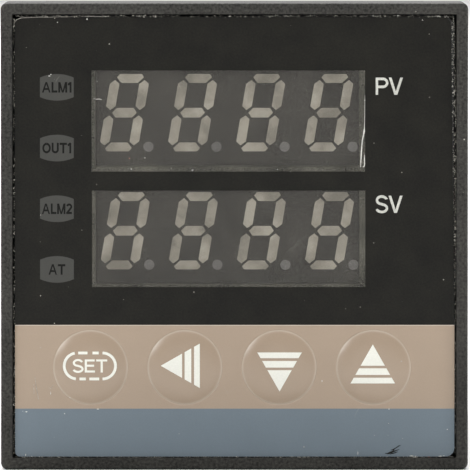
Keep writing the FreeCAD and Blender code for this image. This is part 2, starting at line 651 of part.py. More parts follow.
def display(name, centre_up):
    shell = body(name + "_display_shell")
    outside = centred(MODULE_ACROSS, centre_up, "module_wide", "module_tall")
    inside = centred(MODULE_ACROSS, centre_up, "module_wide - 2*module_wall",
                     "module_tall - 2*module_wall")
    pad(shell, "Y", MODULE_FACE, "module_depth", [outside])
    dress("Chamfer", shell, "module_edge", is_level(MODULE_FACE))
    cut(shell, "Y", MODULE_FACE + " + module_wall", "module_depth - module_wall", [inside])
    point = near_round(MODULE_ACROSS + " + digit_first + point_across",
                       centre_up + " - digit_tall/2 + stroke/2", "point_radius")
    cavities = cut(shell, "Y", MODULE_FACE, "module_wall", digit_strokes(centre_up) + [point])
    repeat(shell, [cavities], "X_Axis", "digit_pitch", "4")

    resin = body(name + "_display_resin")
    pad(resin, "Y", MODULE_FACE + " + module_wall", "module_depth - module_wall", [inside])


display("pv", PV_HEIGHT)
display("sv", SV_HEIGHT)


# ---------------------------------------------------------------- indicator lamps
def lamp(name, up):
    item = body(name + "_lamp")
    lens = centred(LAMP_ACROSS, up, "lamp_wide", "lamp_tall")
    foot = centred(LAMP_ACROSS, up, "lamp_wide + 2*lamp_foot", "lamp_tall + 2*lamp_foot")
    pad(item, "Y", BOARD_FRONT + " - lamp_depth", "lamp_depth", [lens])
    pad(item, "Y", BOARD_FRONT + " - lamp_depth/4", "lamp_depth/4", [foot])


for name, up in zip(LAMPS, LAMP_SPOTS):
    lamp(name, up)

# ---------------------------------------------------------------- boards
display_board = body("display_board")
pad(display_board, "Y", BOARD_FRONT, "board", [square(BOARD_TALL)])
notches = [centred("0", "%d*(%s/2 - hook_thick/2)" % (level, BOARD_TALL),
                   "hook_wide + 4*hook_play", "hook_thick + 2*hook_play") for level in (-1, 1)]
cut(display_board, "Y", BOARD_FRONT, "board", notches)

for name, side in (("power", -1), ("control", 1)):
    long_board = body(name + "_board")
    pad(long_board, "X", "%d*%s - board/2" % (side, BOARD_ACROSS), "board",
        [rect(BOARD_BACK, "-%s/2" % BOARD_TALL, BOARD_REAR, "%s/2" % BOARD_TALL)])

    # breakaway pin header in the corner between this board and the display board
    header = body(name + "_header")
    low = "-3*header_pitch"
    rear = BOARD_BACK + " + header_wide"
    outline = [(BOARD_BACK, low), (rear, low)]
    for notch in range(1, 6):
        middle = "(%s + %d*header_pitch)" % (low, notch)
        outline += [(rear, middle + " - header_wide/8"), (rear + " - header_wide/8", middle),
                    (rear, middle + " + header_wide/8")]
    outline += [(rear, "3*header_pitch"), (BOARD_BACK, "3*header_pitch")]
    start = "%d*(%s - board/2 - header_wide/2) - header_wide/2" % (side, BOARD_ACROSS)
    pad(header, "X", start, "header_wide", [outline])


# ---------------------------------------------------------------- key switches
# A plastic base with a spring leaf on its floor, a plunger with a square foot and a round
# stem, and a steel cover that holds the plunger in.
def key_switch(name, across):
    outside = centred(across, KEY_HEIGHT, "switch_size", "switch_size")
    inner = "(switch_size - 2*switch_wall)"
    base = body(name + "_switch_base")
    pad(base, "Y", SWITCH_FRONT, "switch_depth", [outside])
    cut(base, "Y", SWITCH_FRONT, "switch_depth - switch_floor",
        [centred(across, KEY_HEIGHT, inner, inner)])

    cover = body(name + "_switch_cover")
    pad(cover, "Y", COVER_FRONT, "switch_cover",
        [outside, near_round(across, KEY_HEIGHT, "plunger/2 + plunger_play")])

    plunger = body(name + "_plunger")
    foot_front = "(%s + plunger_foot_play)" % SWITCH_FRONT
    foot = inner + " - 2*plunger_foot_play"
    pad(plunger, "Y", foot_front, "plunger_foot", [centred(across, KEY_HEIGHT, foot, foot)])
    stem_front = "(%s - plunger_reach)" % COVER_FRONT
    pad(plunger, "Y", stem_front, "%s - %s" % (foot_front, stem_front),
        [near_round(across, KEY_HEIGHT, "plunger/2")])
    arch_top = "(%s - switch_floor - spring_rise - spring)" % BOARD_FRONT
    nub_front = "(%s + plunger_foot)" % foot_front
    pad(plunger, "Y", nub_front, "%s - %s" % (arch_top, nub_front),
        [centred(across, KEY_HEIGHT, "plunger_nub", "plunger_nub")])

    leaf = body(name + "_switch_spring")
    floor = "(%s - switch_floor)" % BOARD_FRONT
    half = "(%s/2 - plunger_foot_play)" % inner
    quarter = "(%s/2)" % half
    under = [(half, floor), (half, floor + " - spring"), (quarter, arch_top)]
    outline = [("(%s) - %s" % (across, u), level) for u, level in under]
    outline += [("(%s) + %s" % (across, u), level) for u, level in reversed(under)]
    outline += [("(%s) + %s - spring" % (across, half), floor),
                ("(%s) + %s - spring" % (across, quarter), arch_top + " + spring"),
                ("(%s) - %s + spring" % (across, quarter), arch_top + " + spring"),
                ("(%s) - %s + spring" % (across, half), floor)]
    pad(leaf, "Z", KEY_HEIGHT + " - spring_wide/2", "spring_wide", [outline])


for name, across in zip(KEYS, KEY_SPOTS):
    key_switch(name, across)

# ---------------------------------------------------------------- parts on the power board
POWER_FACE = "(board/2 - %s)" % BOARD_ACROSS
core = body("transformer_core")
CORE_LOW = "(core_rise - %s/2 - core_tall/2)" % BOARD_TALL
CORE_HIGH = "(%s + core_tall)" % CORE_LOW
CORE_FRONT = "(%s - core_before)" % BOARD_REAR
CORE_MIDDLE = "(%s + core_long/2)" % CORE_FRONT
outline = rect(CORE_FRONT, CORE_LOW, CORE_FRONT + " + core_long", CORE_HIGH)
windows = [rect(CORE_MIDDLE + " - core_long/2 + core_limb", CORE_LOW + " + core_limb",
                CORE_MIDDLE + " - core_limb", CORE_HIGH + " - core_limb"),
           rect(CORE_MIDDLE + " + core_limb", CORE_LOW + " + core_limb",
                CORE_MIDDLE + " + core_long/2 - core_limb", CORE_HIGH + " - core_limb")]
COIL_DEEP = "(core_stack + 2*coil_play + 2*coil_wall)"
CORE_ACROSS = "(%s + %s/2)" % (POWER_FACE, COIL_DEEP)
pad(core, "X", CORE_ACROSS + " - core_stack/2", "core_stack", [outline] + windows)

# The bobbin is a tube round the middle limb with a flange at each end, and the coil is wound
# between its flanges.
bobbin = body("transformer_bobbin")
COIL_LONG = "(core_long - 2*core_limb - 4*coil_wall/3)"
BOBBIN_LOW = "(%s + core_limb + coil_play)" % CORE_LOW
BOBBIN_TALL = "(core_tall - 2*core_limb - 2*coil_play)"
LIMB_DEEP = "(core_stack + 2*coil_play)"
LIMB_LONG = "(2*core_limb + 2*coil_play)"
limb = centred(CORE_ACROSS, CORE_MIDDLE, LIMB_DEEP, LIMB_LONG)
sleeve = centred(CORE_ACROSS, CORE_MIDDLE, LIMB_DEEP + " + 2*bobbin_wall",
                 LIMB_LONG + " + 2*bobbin_wall")
flange = centred(CORE_ACROSS, CORE_MIDDLE, COIL_DEEP, COIL_LONG)
pad(bobbin, "Z", BOBBIN_LOW, BOBBIN_TALL, [sleeve, limb])
pad(bobbin, "Z", BOBBIN_LOW, "bobbin_wall", [flange, limb])
pad(bobbin, "Z", "%s + %s - bobbin_wall" % (BOBBIN_LOW, BOBBIN_TALL), "bobbin_wall", [flange, limb])

coil = body("transformer_coil")
winding = centred(CORE_ACROSS, CORE_MIDDLE, COIL_DEEP + " - 2*winding_step",
                  COIL_LONG + " - 2*winding_step")
pad(coil, "Z", BOBBIN_LOW + " + bobbin_wall", BOBBIN_TALL + " - 2*bobbin_wall", [winding, sleeve])

bulk = body("bulk_capacitor")
pad(bulk, "X", POWER_FACE, "bulk_tall", circles=[("bulk_behind", CAP_HEIGHT, "bulk_radius")])

film_capacitor = body("film_capacitor")
pad(film_capacitor, "X", POWER_FACE, "film_cap_tall",
    [centred("film_cap_behind + film_cap_long/2", CAP_HEIGHT, "film_cap_long", "film_cap_thick")])

varistor = body("varistor")
VARISTOR_ACROSS = "(%s + lead_length + varistor_radius)" % POWER_FACE
VARISTOR_FRONT = "(%s - varistor_before)" % BOARD_REAR
pad(varistor, "Y", VARISTOR_FRONT, "varistor_thick",
    [near_round(VARISTOR_ACROSS, CAP_HEIGHT, "varistor_radius")])
leads = [centred(VARISTOR_FRONT + " + varistor_thick/2", CAP_HEIGHT + " + %s*lead_pitch" % half,
                 "lead", "lead") for half in (-0.5, 0.5)]
pad(varistor, "X", POWER_FACE, "lead_length + varistor_radius", leads)

fuse = body("fuse")
pad(fuse, "X", POWER_FACE, "fuse_tall",
    [centred(BOARD_REAR + " - fuse_before + fuse_long/2", CAP_HEIGHT, "fuse_long", "fuse_thick")])

# ---------------------------------------------------------------- parts on the control board
CONTROL_FACE = "(%s - board/2)" % BOARD_ACROSS
CONTROL_BACK = "(%s + board/2)" % BOARD_ACROSS
RELAY_TOP = "(%s - relay_tall)" % CONTROL_FACE
RELAY_HEIGHT = "(relay_rise - %s/2)" % BOARD_TALL
OUTPUT_FRONT = "(%s - output_before)" % BOARD_REAR
for name, behind in (("alarm_relay", "alarm_behind"), ("output_relay", OUTPUT_FRONT)):
    relay = body(name)
    pad(relay, "X", RELAY_TOP, "relay_tall",
        [centred(behind + " + relay_long/2", RELAY_HEIGHT, "relay_long", "relay_wide")])
    dress("Chamfer", relay, "relay_edge", is_level(RELAY_TOP, "X"))

output_capacitor = body("output_capacitor")
pad(output_capacitor, "X", CONTROL_FACE + " - output_cap_tall", "output_cap_tall",
    [near_round("output_cap_behind", CAP_HEIGHT, "output_cap_radius")])


def chip(name, behind, length, legs):
    """Moulded chip on the outer face of the control board, with bent legs on both sides."""
    item = body(name)
    pad(item, "X", CONTROL_BACK + " + chip_stand", "chip_thick",
        [centred("%s + %s/2" % (behind, length), "0", length, "chip_wide")])
    feet = []
    for level in (-1, 1):
        for leg in range(legs):
            along = "%s + %s/2 + leg_pitch*(%s)" % (behind, length, leg - (legs - 1) / 2)
            up = "%d*(chip_wide/2 + leg_reach/2)" % level
            feet.append(centred(along, up, "leg_wide", "leg_reach"))
    pad(item, "X", CONTROL_BACK, "chip_stand + chip_thick/2", feet)


chip("controller_chip", "chip_behind", "chip_long", int(value("chip_legs")))
chip("optocoupler", BOARD_REAR + " - coupler_before", "coupler_long", 2)

# ---------------------------------------------------------------- check and write
SMALLEST_CUT = 1e-6

doc.recompute()
for item in doc.Objects:
    if "Invalid" in item.State or "Error" in item.State:
        raise SystemExit("%s did not build: %s" % (item.Name, item.State))
bodies = [item for item in doc.Objects if item.TypeId == "PartDesign::Body"]
for item in bodies:
    if item.Shape.isNull() or not item.Shape.isValid():
        raise SystemExit("%s has no valid shape" % item.Label)
    for feature in item.Group:
        if feature.TypeId == "PartDesign::Pocket":
            if feature.Shape.Volume > feature.BaseFeature.Shape.Volume - SMALLEST_CUT:
                raise SystemExit("%s cuts nothing" % feature.Name)
os.makedirs("parts", exist_ok=True)
for item in bodies:
    item.Shape.exportStep("parts/%s.step" % item.Label)
print("%d parts written" % len(bodies))
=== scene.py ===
import math

import bmesh
import bpy
import numpy as np
from mathutils import Matrix, Vector, geometry


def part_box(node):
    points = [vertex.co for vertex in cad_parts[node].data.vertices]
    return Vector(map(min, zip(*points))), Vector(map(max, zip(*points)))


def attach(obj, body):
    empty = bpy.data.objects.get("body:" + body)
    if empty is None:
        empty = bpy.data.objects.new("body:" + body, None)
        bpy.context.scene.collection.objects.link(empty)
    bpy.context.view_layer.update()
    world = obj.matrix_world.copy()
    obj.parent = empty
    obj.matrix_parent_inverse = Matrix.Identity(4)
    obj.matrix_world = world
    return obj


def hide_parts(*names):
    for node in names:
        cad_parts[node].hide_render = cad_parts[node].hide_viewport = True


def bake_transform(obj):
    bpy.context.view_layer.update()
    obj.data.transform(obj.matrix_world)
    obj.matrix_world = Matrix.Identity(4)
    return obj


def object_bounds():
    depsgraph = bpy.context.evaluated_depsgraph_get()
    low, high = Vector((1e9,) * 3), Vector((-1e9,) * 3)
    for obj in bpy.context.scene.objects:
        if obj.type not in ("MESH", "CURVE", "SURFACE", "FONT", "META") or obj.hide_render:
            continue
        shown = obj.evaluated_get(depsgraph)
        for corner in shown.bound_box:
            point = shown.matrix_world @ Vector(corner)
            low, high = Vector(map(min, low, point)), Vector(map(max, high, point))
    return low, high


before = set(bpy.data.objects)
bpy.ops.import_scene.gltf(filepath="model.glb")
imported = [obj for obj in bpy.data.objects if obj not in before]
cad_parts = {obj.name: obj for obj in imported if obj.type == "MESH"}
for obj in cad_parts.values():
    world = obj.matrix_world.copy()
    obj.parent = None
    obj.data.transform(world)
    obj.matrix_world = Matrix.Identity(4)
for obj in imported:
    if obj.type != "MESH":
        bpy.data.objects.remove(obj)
cad_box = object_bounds()
MM = 0.001

# ------------------------------------------------------------------ studio
# A pale floor under the flange, a soft light on each side, two over the floor and one behind,
# in a dim even surround. The camera stands a metre in front and a little above.
FLOOR_HALF = 6.0
FLOOR_TONE = (0.9, 0.9, 0.9, 1)
FLOOR_ROUGHNESS = 0.9
SURROUND_TONE = (1.0, 0.985, 0.96, 1)
SURROUND_STRENGTH = 0.24
FRONT_Y = cad_box[0].y
floor_mesh = bpy.data.meshes.new("studio_floor")
floor_corners = [(x * FLOOR_HALF, y * FLOOR_HALF, cad_box[0].z)
                 for x, y in ((-1, -1), (1, -1), (1, 1), (-1, 1))]
floor_mesh.from_pydata(floor_corners, [], [(0, 1, 2, 3)])
floor = bpy.data.objects.new("studio_floor", floor_mesh)
bpy.context.scene.collection.objects.link(floor)
floor_finish = bpy.data.materials.new("studio_floor")
floor_finish.use_nodes = True
floor_shader = floor_finish.node_tree.nodes["Principled BSDF"].inputs
floor_shader["Base Color"].default_value = FLOOR_TONE
floor_shader["Roughness"].default_value = FLOOR_ROUGHNESS
floor_mesh.materials.append(floor_finish)

surround = bpy.data.worlds.new("surround")
surround.use_nodes = True
background = surround.node_tree.nodes["Background"].inputs
background["Color"].default_value = SURROUND_TONE
background["Strength"].default_value = SURROUND_STRENGTH
bpy.context.scene.world = surround
bpy.context.scene.view_settings.view_transform = "Standard"


def soft_light(name, place, aim, size, power):
    """A square light of that size in metres and power in watts, turned to a point."""
    lamp = bpy.data.lights.new(name, "AREA")
    lamp.size = size
    lamp.energy = power
    holder = bpy.data.objects.new(name, lamp)
    holder.location = place
    holder.rotation_euler = (Vector(aim) - Vector(place)).to_track_quat("-Z", "Y").to_euler()
    bpy.context.scene.collection.objects.link(holder)


soft_light("left_light", (-0.62, -0.88, 0.38), (0, 0, 0), 0.34, 2.9)
soft_light("right_light", (0.90, -0.50, 0.40), (0, 0, 0), 0.8, 2.5)
soft_light("front_light", (0.0, -0.55, 0.75), (0, -0.55, 0), 0.8, 4.0)
soft_light("floor_light", (0.0, 1.2, 1.6), (0, 1.0, 0), 1.6, 73.0)
soft_light("rear_light", (-0.7, 1.1, 0.7), (0, 0, 0), 0.6, 9.0)

CAMERA_DISTANCE = 1.0
CAMERA_RISE = math.radians(2.3)
CAMERA_AIM = Vector((0.06 * MM, FRONT_Y, 0.145 * MM))
CAMERA_LENS = 745.8
SENSOR_WIDTH = 36.0
NEAREST, FARTHEST = 0.05, 20.0
toward_camera = Vector((0, -math.cos(CAMERA_RISE), math.sin(CAMERA_RISE)))
camera = bpy.data.objects.new("camera", bpy.data.cameras.new("camera"))
camera.data.lens = CAMERA_LENS
camera.data.sensor_width = SENSOR_WIDTH
camera.data.clip_start = NEAREST
camera.data.clip_end = FARTHEST
camera.location = CAMERA_AIM + toward_camera * CAMERA_DISTANCE
camera.rotation_euler = (-toward_camera).to_track_quat("-Z", "Y").to_euler()
bpy.context.scene.collection.objects.link(camera)
bpy.context.scene.camera = camera

# ------------------------------------------------------------------ case housing
# One moulding of black ABS with a spark-eroded grain: flange, recess and the square tube
# behind. Its moulded edges are slightly round, and dust has settled in the grain.
CASE_DARK = (0.0075, 0.0072, 0.0062)
CASE_LIGHT = (0.056, 0.054, 0.048)
CASE_PITS = 3600
CASE_DUSTY = 0.6
DUST_COLOUR = (0.40, 0.38, 0.34, 1)
MOULDED_EDGE = 0.12 * MM
MERGE = 0.0005 * MM


def add(tree, kind, inputs=None, **settings):
    """A shader node: its settings first, then its inputs, each linked or given a value."""
    node = tree.nodes.new("ShaderNode" + kind)
    for name, value in settings.items():
        setattr(node, name, value)
    for key, value in (inputs or {}).items():
        if isinstance(value, bpy.types.NodeSocket):
            tree.links.new(value, node.inputs[key])
        else:
            node.inputs[key].default_value = value
    return node


def calc(tree, operation, *values):
    """A sum, product or other operation on one, two or three values."""
    return add(tree, "Math", dict(enumerate(values)), operation=operation).outputs[0]


def spread(tree, value, low, high, to_low=0.0, to_high=1.0):
    """A value carried from one range to another, and held inside it."""
    return add(tree, "MapRange", {0: value, 1: low, 2: high, 3: to_low, 4: to_high}).outputs[0]


def over(tree, share, under, top):
    """A share of one colour laid over another."""
    return add(tree, "Mix", {0: share, 6: under, 7: top}, data_type="RGBA").outputs[2]


def noise(tree, place, scale, detail=2.0, roughness=0.5):
    """Clouds of a scale per metre, as one value."""
    settings = {"Vector": place, "Scale": scale, "Detail": detail, "Roughness": roughness}
    return add(tree, "TexNoise", settings).outputs[0]


def shared(tree, group, place, **inputs):
    """The outputs of a shared effect at a place, with its inputs set by name."""
    settings = {"Vector": place, **{label.replace("_", " "): value for label, value in inputs.items()}}
    return add(tree, "Group", settings, node_tree=group).outputs


def effect(name, takes, gives):
    """An empty shared effect at a place, with named inputs and outputs, and its end nodes."""
    group = bpy.data.node_groups.new(name, "ShaderNodeTree")
    group.interface.new_socket("Vector", in_out="INPUT", socket_type="NodeSocketVector")
    for label, start in takes.items():
        group.interface.new_socket(label, in_out="INPUT", socket_type="NodeSocketFloat").default_value = start
    for label in gives:
        group.interface.new_socket(label, in_out="OUTPUT", socket_type="NodeSocketFloat")
    return group, group.nodes.new("NodeGroupInput").outputs, group.nodes.new("NodeGroupOutput").inputs


def mould_grain():
    """Grain of a spark-eroded mould: the height of its pits, and a tone from 0 to 1 that is the
    pits' height with soft clouds added."""
    group, takes, gives = effect("mould_grain", {"Pits per metre": 3200}, ["Height", "Tone"])
    pits = noise(group, takes["Vector"], takes["Pits per metre"], 3.0, 0.65)
    clouds = noise(group, takes["Vector"], 160.0)
    tone = calc(group, "ADD", spread(group, pits, 0.32, 0.68),
                spread(group, clouds, 0.3, 0.7, -0.15, 0.15))
    group.links.new(pits, gives["Height"])
    group.links.new(tone, gives["Tone"])
    return group


def dust(name, dimensions):
    """Specks: a share of the cells of a cell pattern holds one small round speck each."""
    group, takes, gives = effect(name, {"Cells per metre": 700, "Share": 0.1, "Size": 0.055}, ["Mask"])
    cells = add(group, "TexVoronoi", {"Vector": takes["Vector"], "Scale": takes["Cells per metre"]},
                voronoi_dimensions=dimensions)
    chance = add(group, "SeparateColor", {0: cells.outputs["Color"]}).outputs
    picked = calc(group, "LESS_THAN", chance[0], takes["Share"])
    reach = calc(group, "MULTIPLY", chance[1], takes["Size"])
    near = calc(group, "LESS_THAN", cells.outputs["Distance"], reach)
    faint = spread(group, chance[2], 0.0, 1.0, 0.15, 1.0)
    speck = calc(group, "MULTIPLY", picked, near)
    group.links.new(calc(group, "MULTIPLY", speck, faint), gives["Mask"])
    return group


MOULD_GRAIN = mould_grain()
DUST = dust("dust", "3D")


def finish(name, roughness, metallic=0.0, **fixed):
    """A material: its tree, its shader with the even values set, and the piece's own place."""
    material = bpy.data.materials.new(name)
    material.use_nodes = True
    tree = material.node_tree
    shader = tree.nodes["Principled BSDF"].inputs
    shader["Roughness"].default_value = roughness
    shader["Metallic"].default_value = metallic
    for label, value in fixed.items():
        shader[label.replace("_", " ")].default_value = value
    return material, tree, shader, add(tree, "TexCoord").outputs["Object"]


def wire(tree, shader, colour, height, depth, strength=0.5):
    """The colour and the relief of a material led into its shader."""
    bump = add(tree, "Bump", {"Strength": strength, "Distance": depth, "Height": height})
    tree.links.new(colour, shader["Base Color"])
    tree.links.new(bump.outputs[0], shader["Normal"])


def moulded_plastic(name, dark, light, roughness=0.5, pits=3200, depth=0.02 * MM, dusty=0.05, **fixed):
    """Moulded plastic: two tones of one colour over the mould's grain, with dust on it."""
    material, tree, shader, place = finish(name, roughness, **fixed)
    grain = shared(tree, MOULD_GRAIN, place, Pits_per_metre=pits)
    specks = shared(tree, DUST, place, Share=dusty)[0]
    tone = over(tree, grain["Tone"], dark + (1,), light + (1,))
    wire(tree, shader, over(tree, specks, tone, DUST_COLOUR), grain["Height"], depth)
    return material


def softened(node, name, edge, segments=2, sharp=35):
    """A copy of a solid with its triangles merged into faces and its edges rounded."""
    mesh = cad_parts[node].data.copy()
    shape = bmesh.new()
    shape.from_mesh(mesh)
    bmesh.ops.remove_doubles(shape, verts=shape.verts, dist=MERGE)
    bmesh.ops.dissolve_limit(shape, angle_limit=math.radians(1), verts=shape.verts, edges=shape.edges)
    shape.to_mesh(mesh)
    shape.free()
    mesh.polygons.foreach_set("use_smooth", [True] * len(mesh.polygons))
    piece = bpy.data.objects.new(name, mesh)
    bpy.context.scene.collection.objects.link(piece)
    rounding = piece.modifiers.new("edges", "BEVEL")
    rounding.width = edge
    rounding.segments = segments
    rounding.limit_method = "ANGLE"
    rounding.angle_limit = math.radians(sharp)
    facing = piece.modifiers.new("facing", "WEIGHTED_NORMAL")
    facing.keep_sharp = True
    return piece


def fit(piece, slot, material, *nodes, body="chassis"):
    """Give a piece its finish, fix it to its body and let it stand for its solids."""
    piece.data.materials.clear()
    piece.data.materials.append(material)
    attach(piece, body)
    if nodes:
        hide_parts(*nodes)


def dress(node, name, edge, slot, material, segments=2, body="chassis"):
    """A solid with rounded edges, finished and fixed in place of its node."""
    fit(softened(node, name, edge, segments), slot, material, node, body=body)


case_plastic = moulded_plastic("case_plastic", CASE_DARK, CASE_LIGHT, 0.5, CASE_PITS, 0.03 * MM,
                               CASE_DUSTY, Specular_IOR_Level=0.22)
dress("case_housing", "case_moulding", MOULDED_EDGE, "case_plastic", case_plastic, body="case")

# ------------------------------------------------------------------ terminal block
# A deeper black moulding plugged into the rear of the case, with a barrier between any two
# terminals and a well behind each screw.
block_plastic = moulded_plastic("block_plastic", (0.012, 0.012, 0.011), (0.034, 0.033, 0.031),
                                roughness=0.45, dusty=0.25)
dress("terminal_block", "terminal_moulding", MOULDED_EDGE, "block_plastic", block_plastic, body="case")

# ------------------------------------------------------------------ terminal contacts
# Ten bent strips of brass, each a pad under its screw with a blade that runs forward. They are
# stamped, so their edges are barely round, and handling has dulled them in patches.
CONTACTS = 10
STAMPED_EDGE = 0.06 * MM
DRAWN = (1, 0.04, 1)


def tarnish():
    """Dull patches on metal from 0 to 1, and fine drawn lines along Y as a height."""
    group, takes, gives = effect("tarnish", {"Lines per metre": 9000}, ["Patches", "Lines"])
    place = takes["Vector"]
    stretch = add(group, "VectorMath", {0: place, 1: DRAWN}, operation="MULTIPLY").outputs[0]
    patches = spread(group, noise(group, place, 420.0, 5.0, 0.62), 0.38, 0.68)
    group.links.new(patches, gives["Patches"])
    group.links.new(noise(group, stretch, takes["Lines per metre"], 1.0), gives["Lines"])
    return group


TARNISH = tarnish()


def metal(name, bright, dull, smooth=0.28, rough=0.5, depth=0.006 * MM):
    """Bare or plated metal: bright and dull patches of one colour over drawn lines."""
    material, tree, shader, place = finish(name, smooth, 1.0)
    patches, lines = shared(tree, TARNISH, place)
    tree.links.new(spread(tree, patches, 0.0, 1.0, smooth, rough), shader["Roughness"])
    wire(tree, shader, over(tree, patches, bright + (1,), dull + (1,)), lines, depth)
    return material


brass = metal("contact_brass", (0.84, 0.66, 0.34), (0.55, 0.40, 0.19))
for number in range(1, CONTACTS + 1):
    dress("terminal_contact_%d" % number, "contact_strip_%d" % number, STAMPED_EDGE, "contact_brass", brass,
          body="case")

# ------------------------------------------------------------------ terminal screws
# Ten nickel-plated pan-head screws with a cross recess and a rolled thread, each with a square
# captive washer. The heads, threads and washers are one piece each for all ten terminals.
screws_low, screws_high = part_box("terminal_screws")
WASHER_HALF = 3.1 * MM
WASHER_THICK = 0.8 * MM
WASHER_EDGE = 0.1 * MM
WASHER_SQUARE = 0.18
SCREW_ACROSS = screws_high.x - WASHER_HALF
SCREW_PITCH = 8.0 * MM
HEAD_TALL = 2.0 * MM
HEAD_RADIUS = 2.75 * MM
HEAD_SHOULDER = 1.2 * MM
HEAD_ROUND = 0.7 * MM
HEAD_DROP = 0.08 * MM
RECESS_ARM = 0.45 * MM
RECESS_REACH = 1.6 * MM
RECESS_DEPTH = 1.1 * MM
THREAD_RADIUS = 1.5 * MM
THREAD_PITCH = 0.5 * MM
THREAD_DEPTH = 0.22 * MM
THREAD_LEVELS = 81
washer_back = screws_high.y - HEAD_TALL - WASHER_THICK


def closed(name, mesh, sharp=40):
    """Merge a mesh's doubled points, face it outwards, smooth all but its sharp edges."""
    shape = bmesh.new()
    shape.from_mesh(mesh)
    bmesh.ops.remove_doubles(shape, verts=shape.verts, dist=MERGE / 5)
    bmesh.ops.dissolve_degenerate(shape, edges=shape.edges, dist=MERGE / 50)
    bmesh.ops.recalc_face_normals(shape, faces=shape.faces)
    shape.to_mesh(mesh)
    shape.free()
    mesh.polygons.foreach_set("use_smooth", [True] * len(mesh.polygons))
    mesh.set_sharp_from_angle(angle=math.radians(sharp))
    piece = bpy.data.objects.new(name, mesh)
    bpy.context.scene.collection.objects.link(piece)
    return piece


def grid_piece(name, points, wrap_rows=False, sharp=40):
    """Quads over one or more like forms, each a grid of points: row, column and place. Columns
    close into rings, and rows do too where asked. Rings of no size merge into poles."""
    points = points.reshape((-1,) + points.shape[-3:])
    forms, rows, columns = points.shape[:3]
    here = np.arange(forms * rows * columns).reshape(forms, rows, columns)
    beside = np.roll(here, -1, axis=2)
    below, below_beside = np.roll(here, -1, axis=1), np.roll(beside, -1, axis=1)
    last = rows if wrap_rows else rows - 1
    faces = np.stack([here, beside, below_beside, below], -1)[:, :last]
    mesh = bpy.data.meshes.new(name)
    mesh.from_pydata(points.reshape(-1, 3).tolist(), [], faces.reshape(-1, 4).tolist())
    return closed(name, mesh, sharp)


def turned(radius, level, steps, axis="Y"):
    """A profile turned about an axis: at a turn a a point lies at its level along the axis, and
    at its radius times the cosine and the sine of a across it. A radius may vary with a."""
    turn = np.linspace(0, 2 * math.pi, steps, endpoint=False)
    radius, level = [np.reshape(rows, (len(rows), -1)) for rows in (radius, level)]
    across, along, up = np.broadcast_arrays(radius * np.cos(turn), level, radius * np.sin(turn))
    return np.stack([across, along, up] if axis == "Y" else [along, across, up], -1)


def repeated(form, moves):
    """A form at each of its moves."""
    return form + np.array(moves)[:, None, None, :]


def screw_heads():
    """A pan head: its edge is a quarter ellipse between the shoulder and the crown, and the
    crown drops with the square of the radius. A point that lies in one of two crossed bars
    drops by the recess."""
    edge, dish = np.linspace(0, math.pi / 2, 9), np.linspace(0, HEAD_RADIUS - HEAD_ROUND, 24)[:-1]
    radius = np.concatenate([dish, HEAD_RADIUS - HEAD_ROUND + HEAD_ROUND * np.sin(edge), [HEAD_RADIUS]])
    crown = HEAD_TALL - HEAD_DROP * (dish / (HEAD_RADIUS - HEAD_ROUND)) ** 2
    side = HEAD_SHOULDER + (HEAD_TALL - HEAD_SHOULDER) * np.cos(edge) - HEAD_DROP * np.cos(edge) ** 2
    points = turned(radius, np.concatenate([crown, side, [0.0]]), 96)
    along, beside = np.abs(points[..., 0]), np.abs(points[..., 2])
    bars = (np.maximum(along, beside) < RECESS_REACH) & (np.minimum(along, beside) < RECESS_ARM)
    points[..., 1] = washer_back + WASHER_THICK + (points[..., 1] - RECESS_DEPTH * bars)
    return points


def screw_threads():
    """A rolled thread: the radius is the full one less a triangle wave of the depth along the
    helix, whose phase is the level over the pitch plus the turn over a full turn."""
    turn = np.linspace(0, 2 * math.pi, 32, endpoint=False)
    level = np.linspace(screws_low.y, washer_back, THREAD_LEVELS)
    phase = (level[:, None] / THREAD_PITCH + turn / (2 * math.pi)) % 1.0
    radius = THREAD_RADIUS - THREAD_DEPTH * np.abs(2 * phase - 1)
    radius[[0, -1]] = 0.0
    return turned(radius, level, len(turn))


def washers():
    """A square washer: rings that pass from the round hole to a square with round corners, a
    power curve whose cosine and sine are raised to a small power, round both faces."""
    turn = np.linspace(0, 2 * math.pi, 64, endpoint=False)
    flat, bevel = WASHER_HALF - WASHER_EDGE, WASHER_EDGE / WASHER_THICK
    half = np.array([THREAD_RADIUS, flat, WASHER_HALF, WASHER_HALF, flat, THREAD_RADIUS])[:, None]
    level = np.array([1, 1, 1 - bevel, bevel, 0, 0])[:, None] * WASHER_THICK
    power = np.array([1] + [WASHER_SQUARE] * 4 + [1])[:, None]
    x, z = [half * np.sign(wave) * np.abs(wave) ** power for wave in (np.cos(turn), np.sin(turn))]
    return np.stack([x, np.broadcast_to(washer_back + level, x.shape), z], -1)


nickel = metal("screw_steel", (0.72, 0.70, 0.66), (0.46, 0.44, 0.40), 0.22, 0.42)
screw_spots = [(side * SCREW_ACROSS, 0, row * SCREW_PITCH) for row in range(-2, 3) for side in (-1, 1)]
screw_forms = (screw_heads(), screw_threads(), washers())
heads, threads, squares = [repeated(form, screw_spots) for form in screw_forms]
fit(grid_piece("screw_heads", heads), "screw_steel", nickel, "terminal_screws", body="case")
fit(grid_piece("screw_threads", threads), "screw_steel", nickel, body="case")
fit(grid_piece("screw_washers", squares, wrap_rows=True), "screw_steel", nickel, body="case")

# ------------------------------------------------------------------ front panel
# A smooth black moulding behind the film, with the light wells, the hooks that hold the display
# board and the release tongue. Its skirt stops on the floor of the recess.
panel_plastic = moulded_plastic("panel_plastic", (0.008, 0.008, 0.008), (0.022, 0.022, 0.021),
                                roughness=0.45, dusty=0.3)
dress("front_panel", "panel_moulding", MOULDED_EDGE / 2, "panel_plastic", panel_plastic)

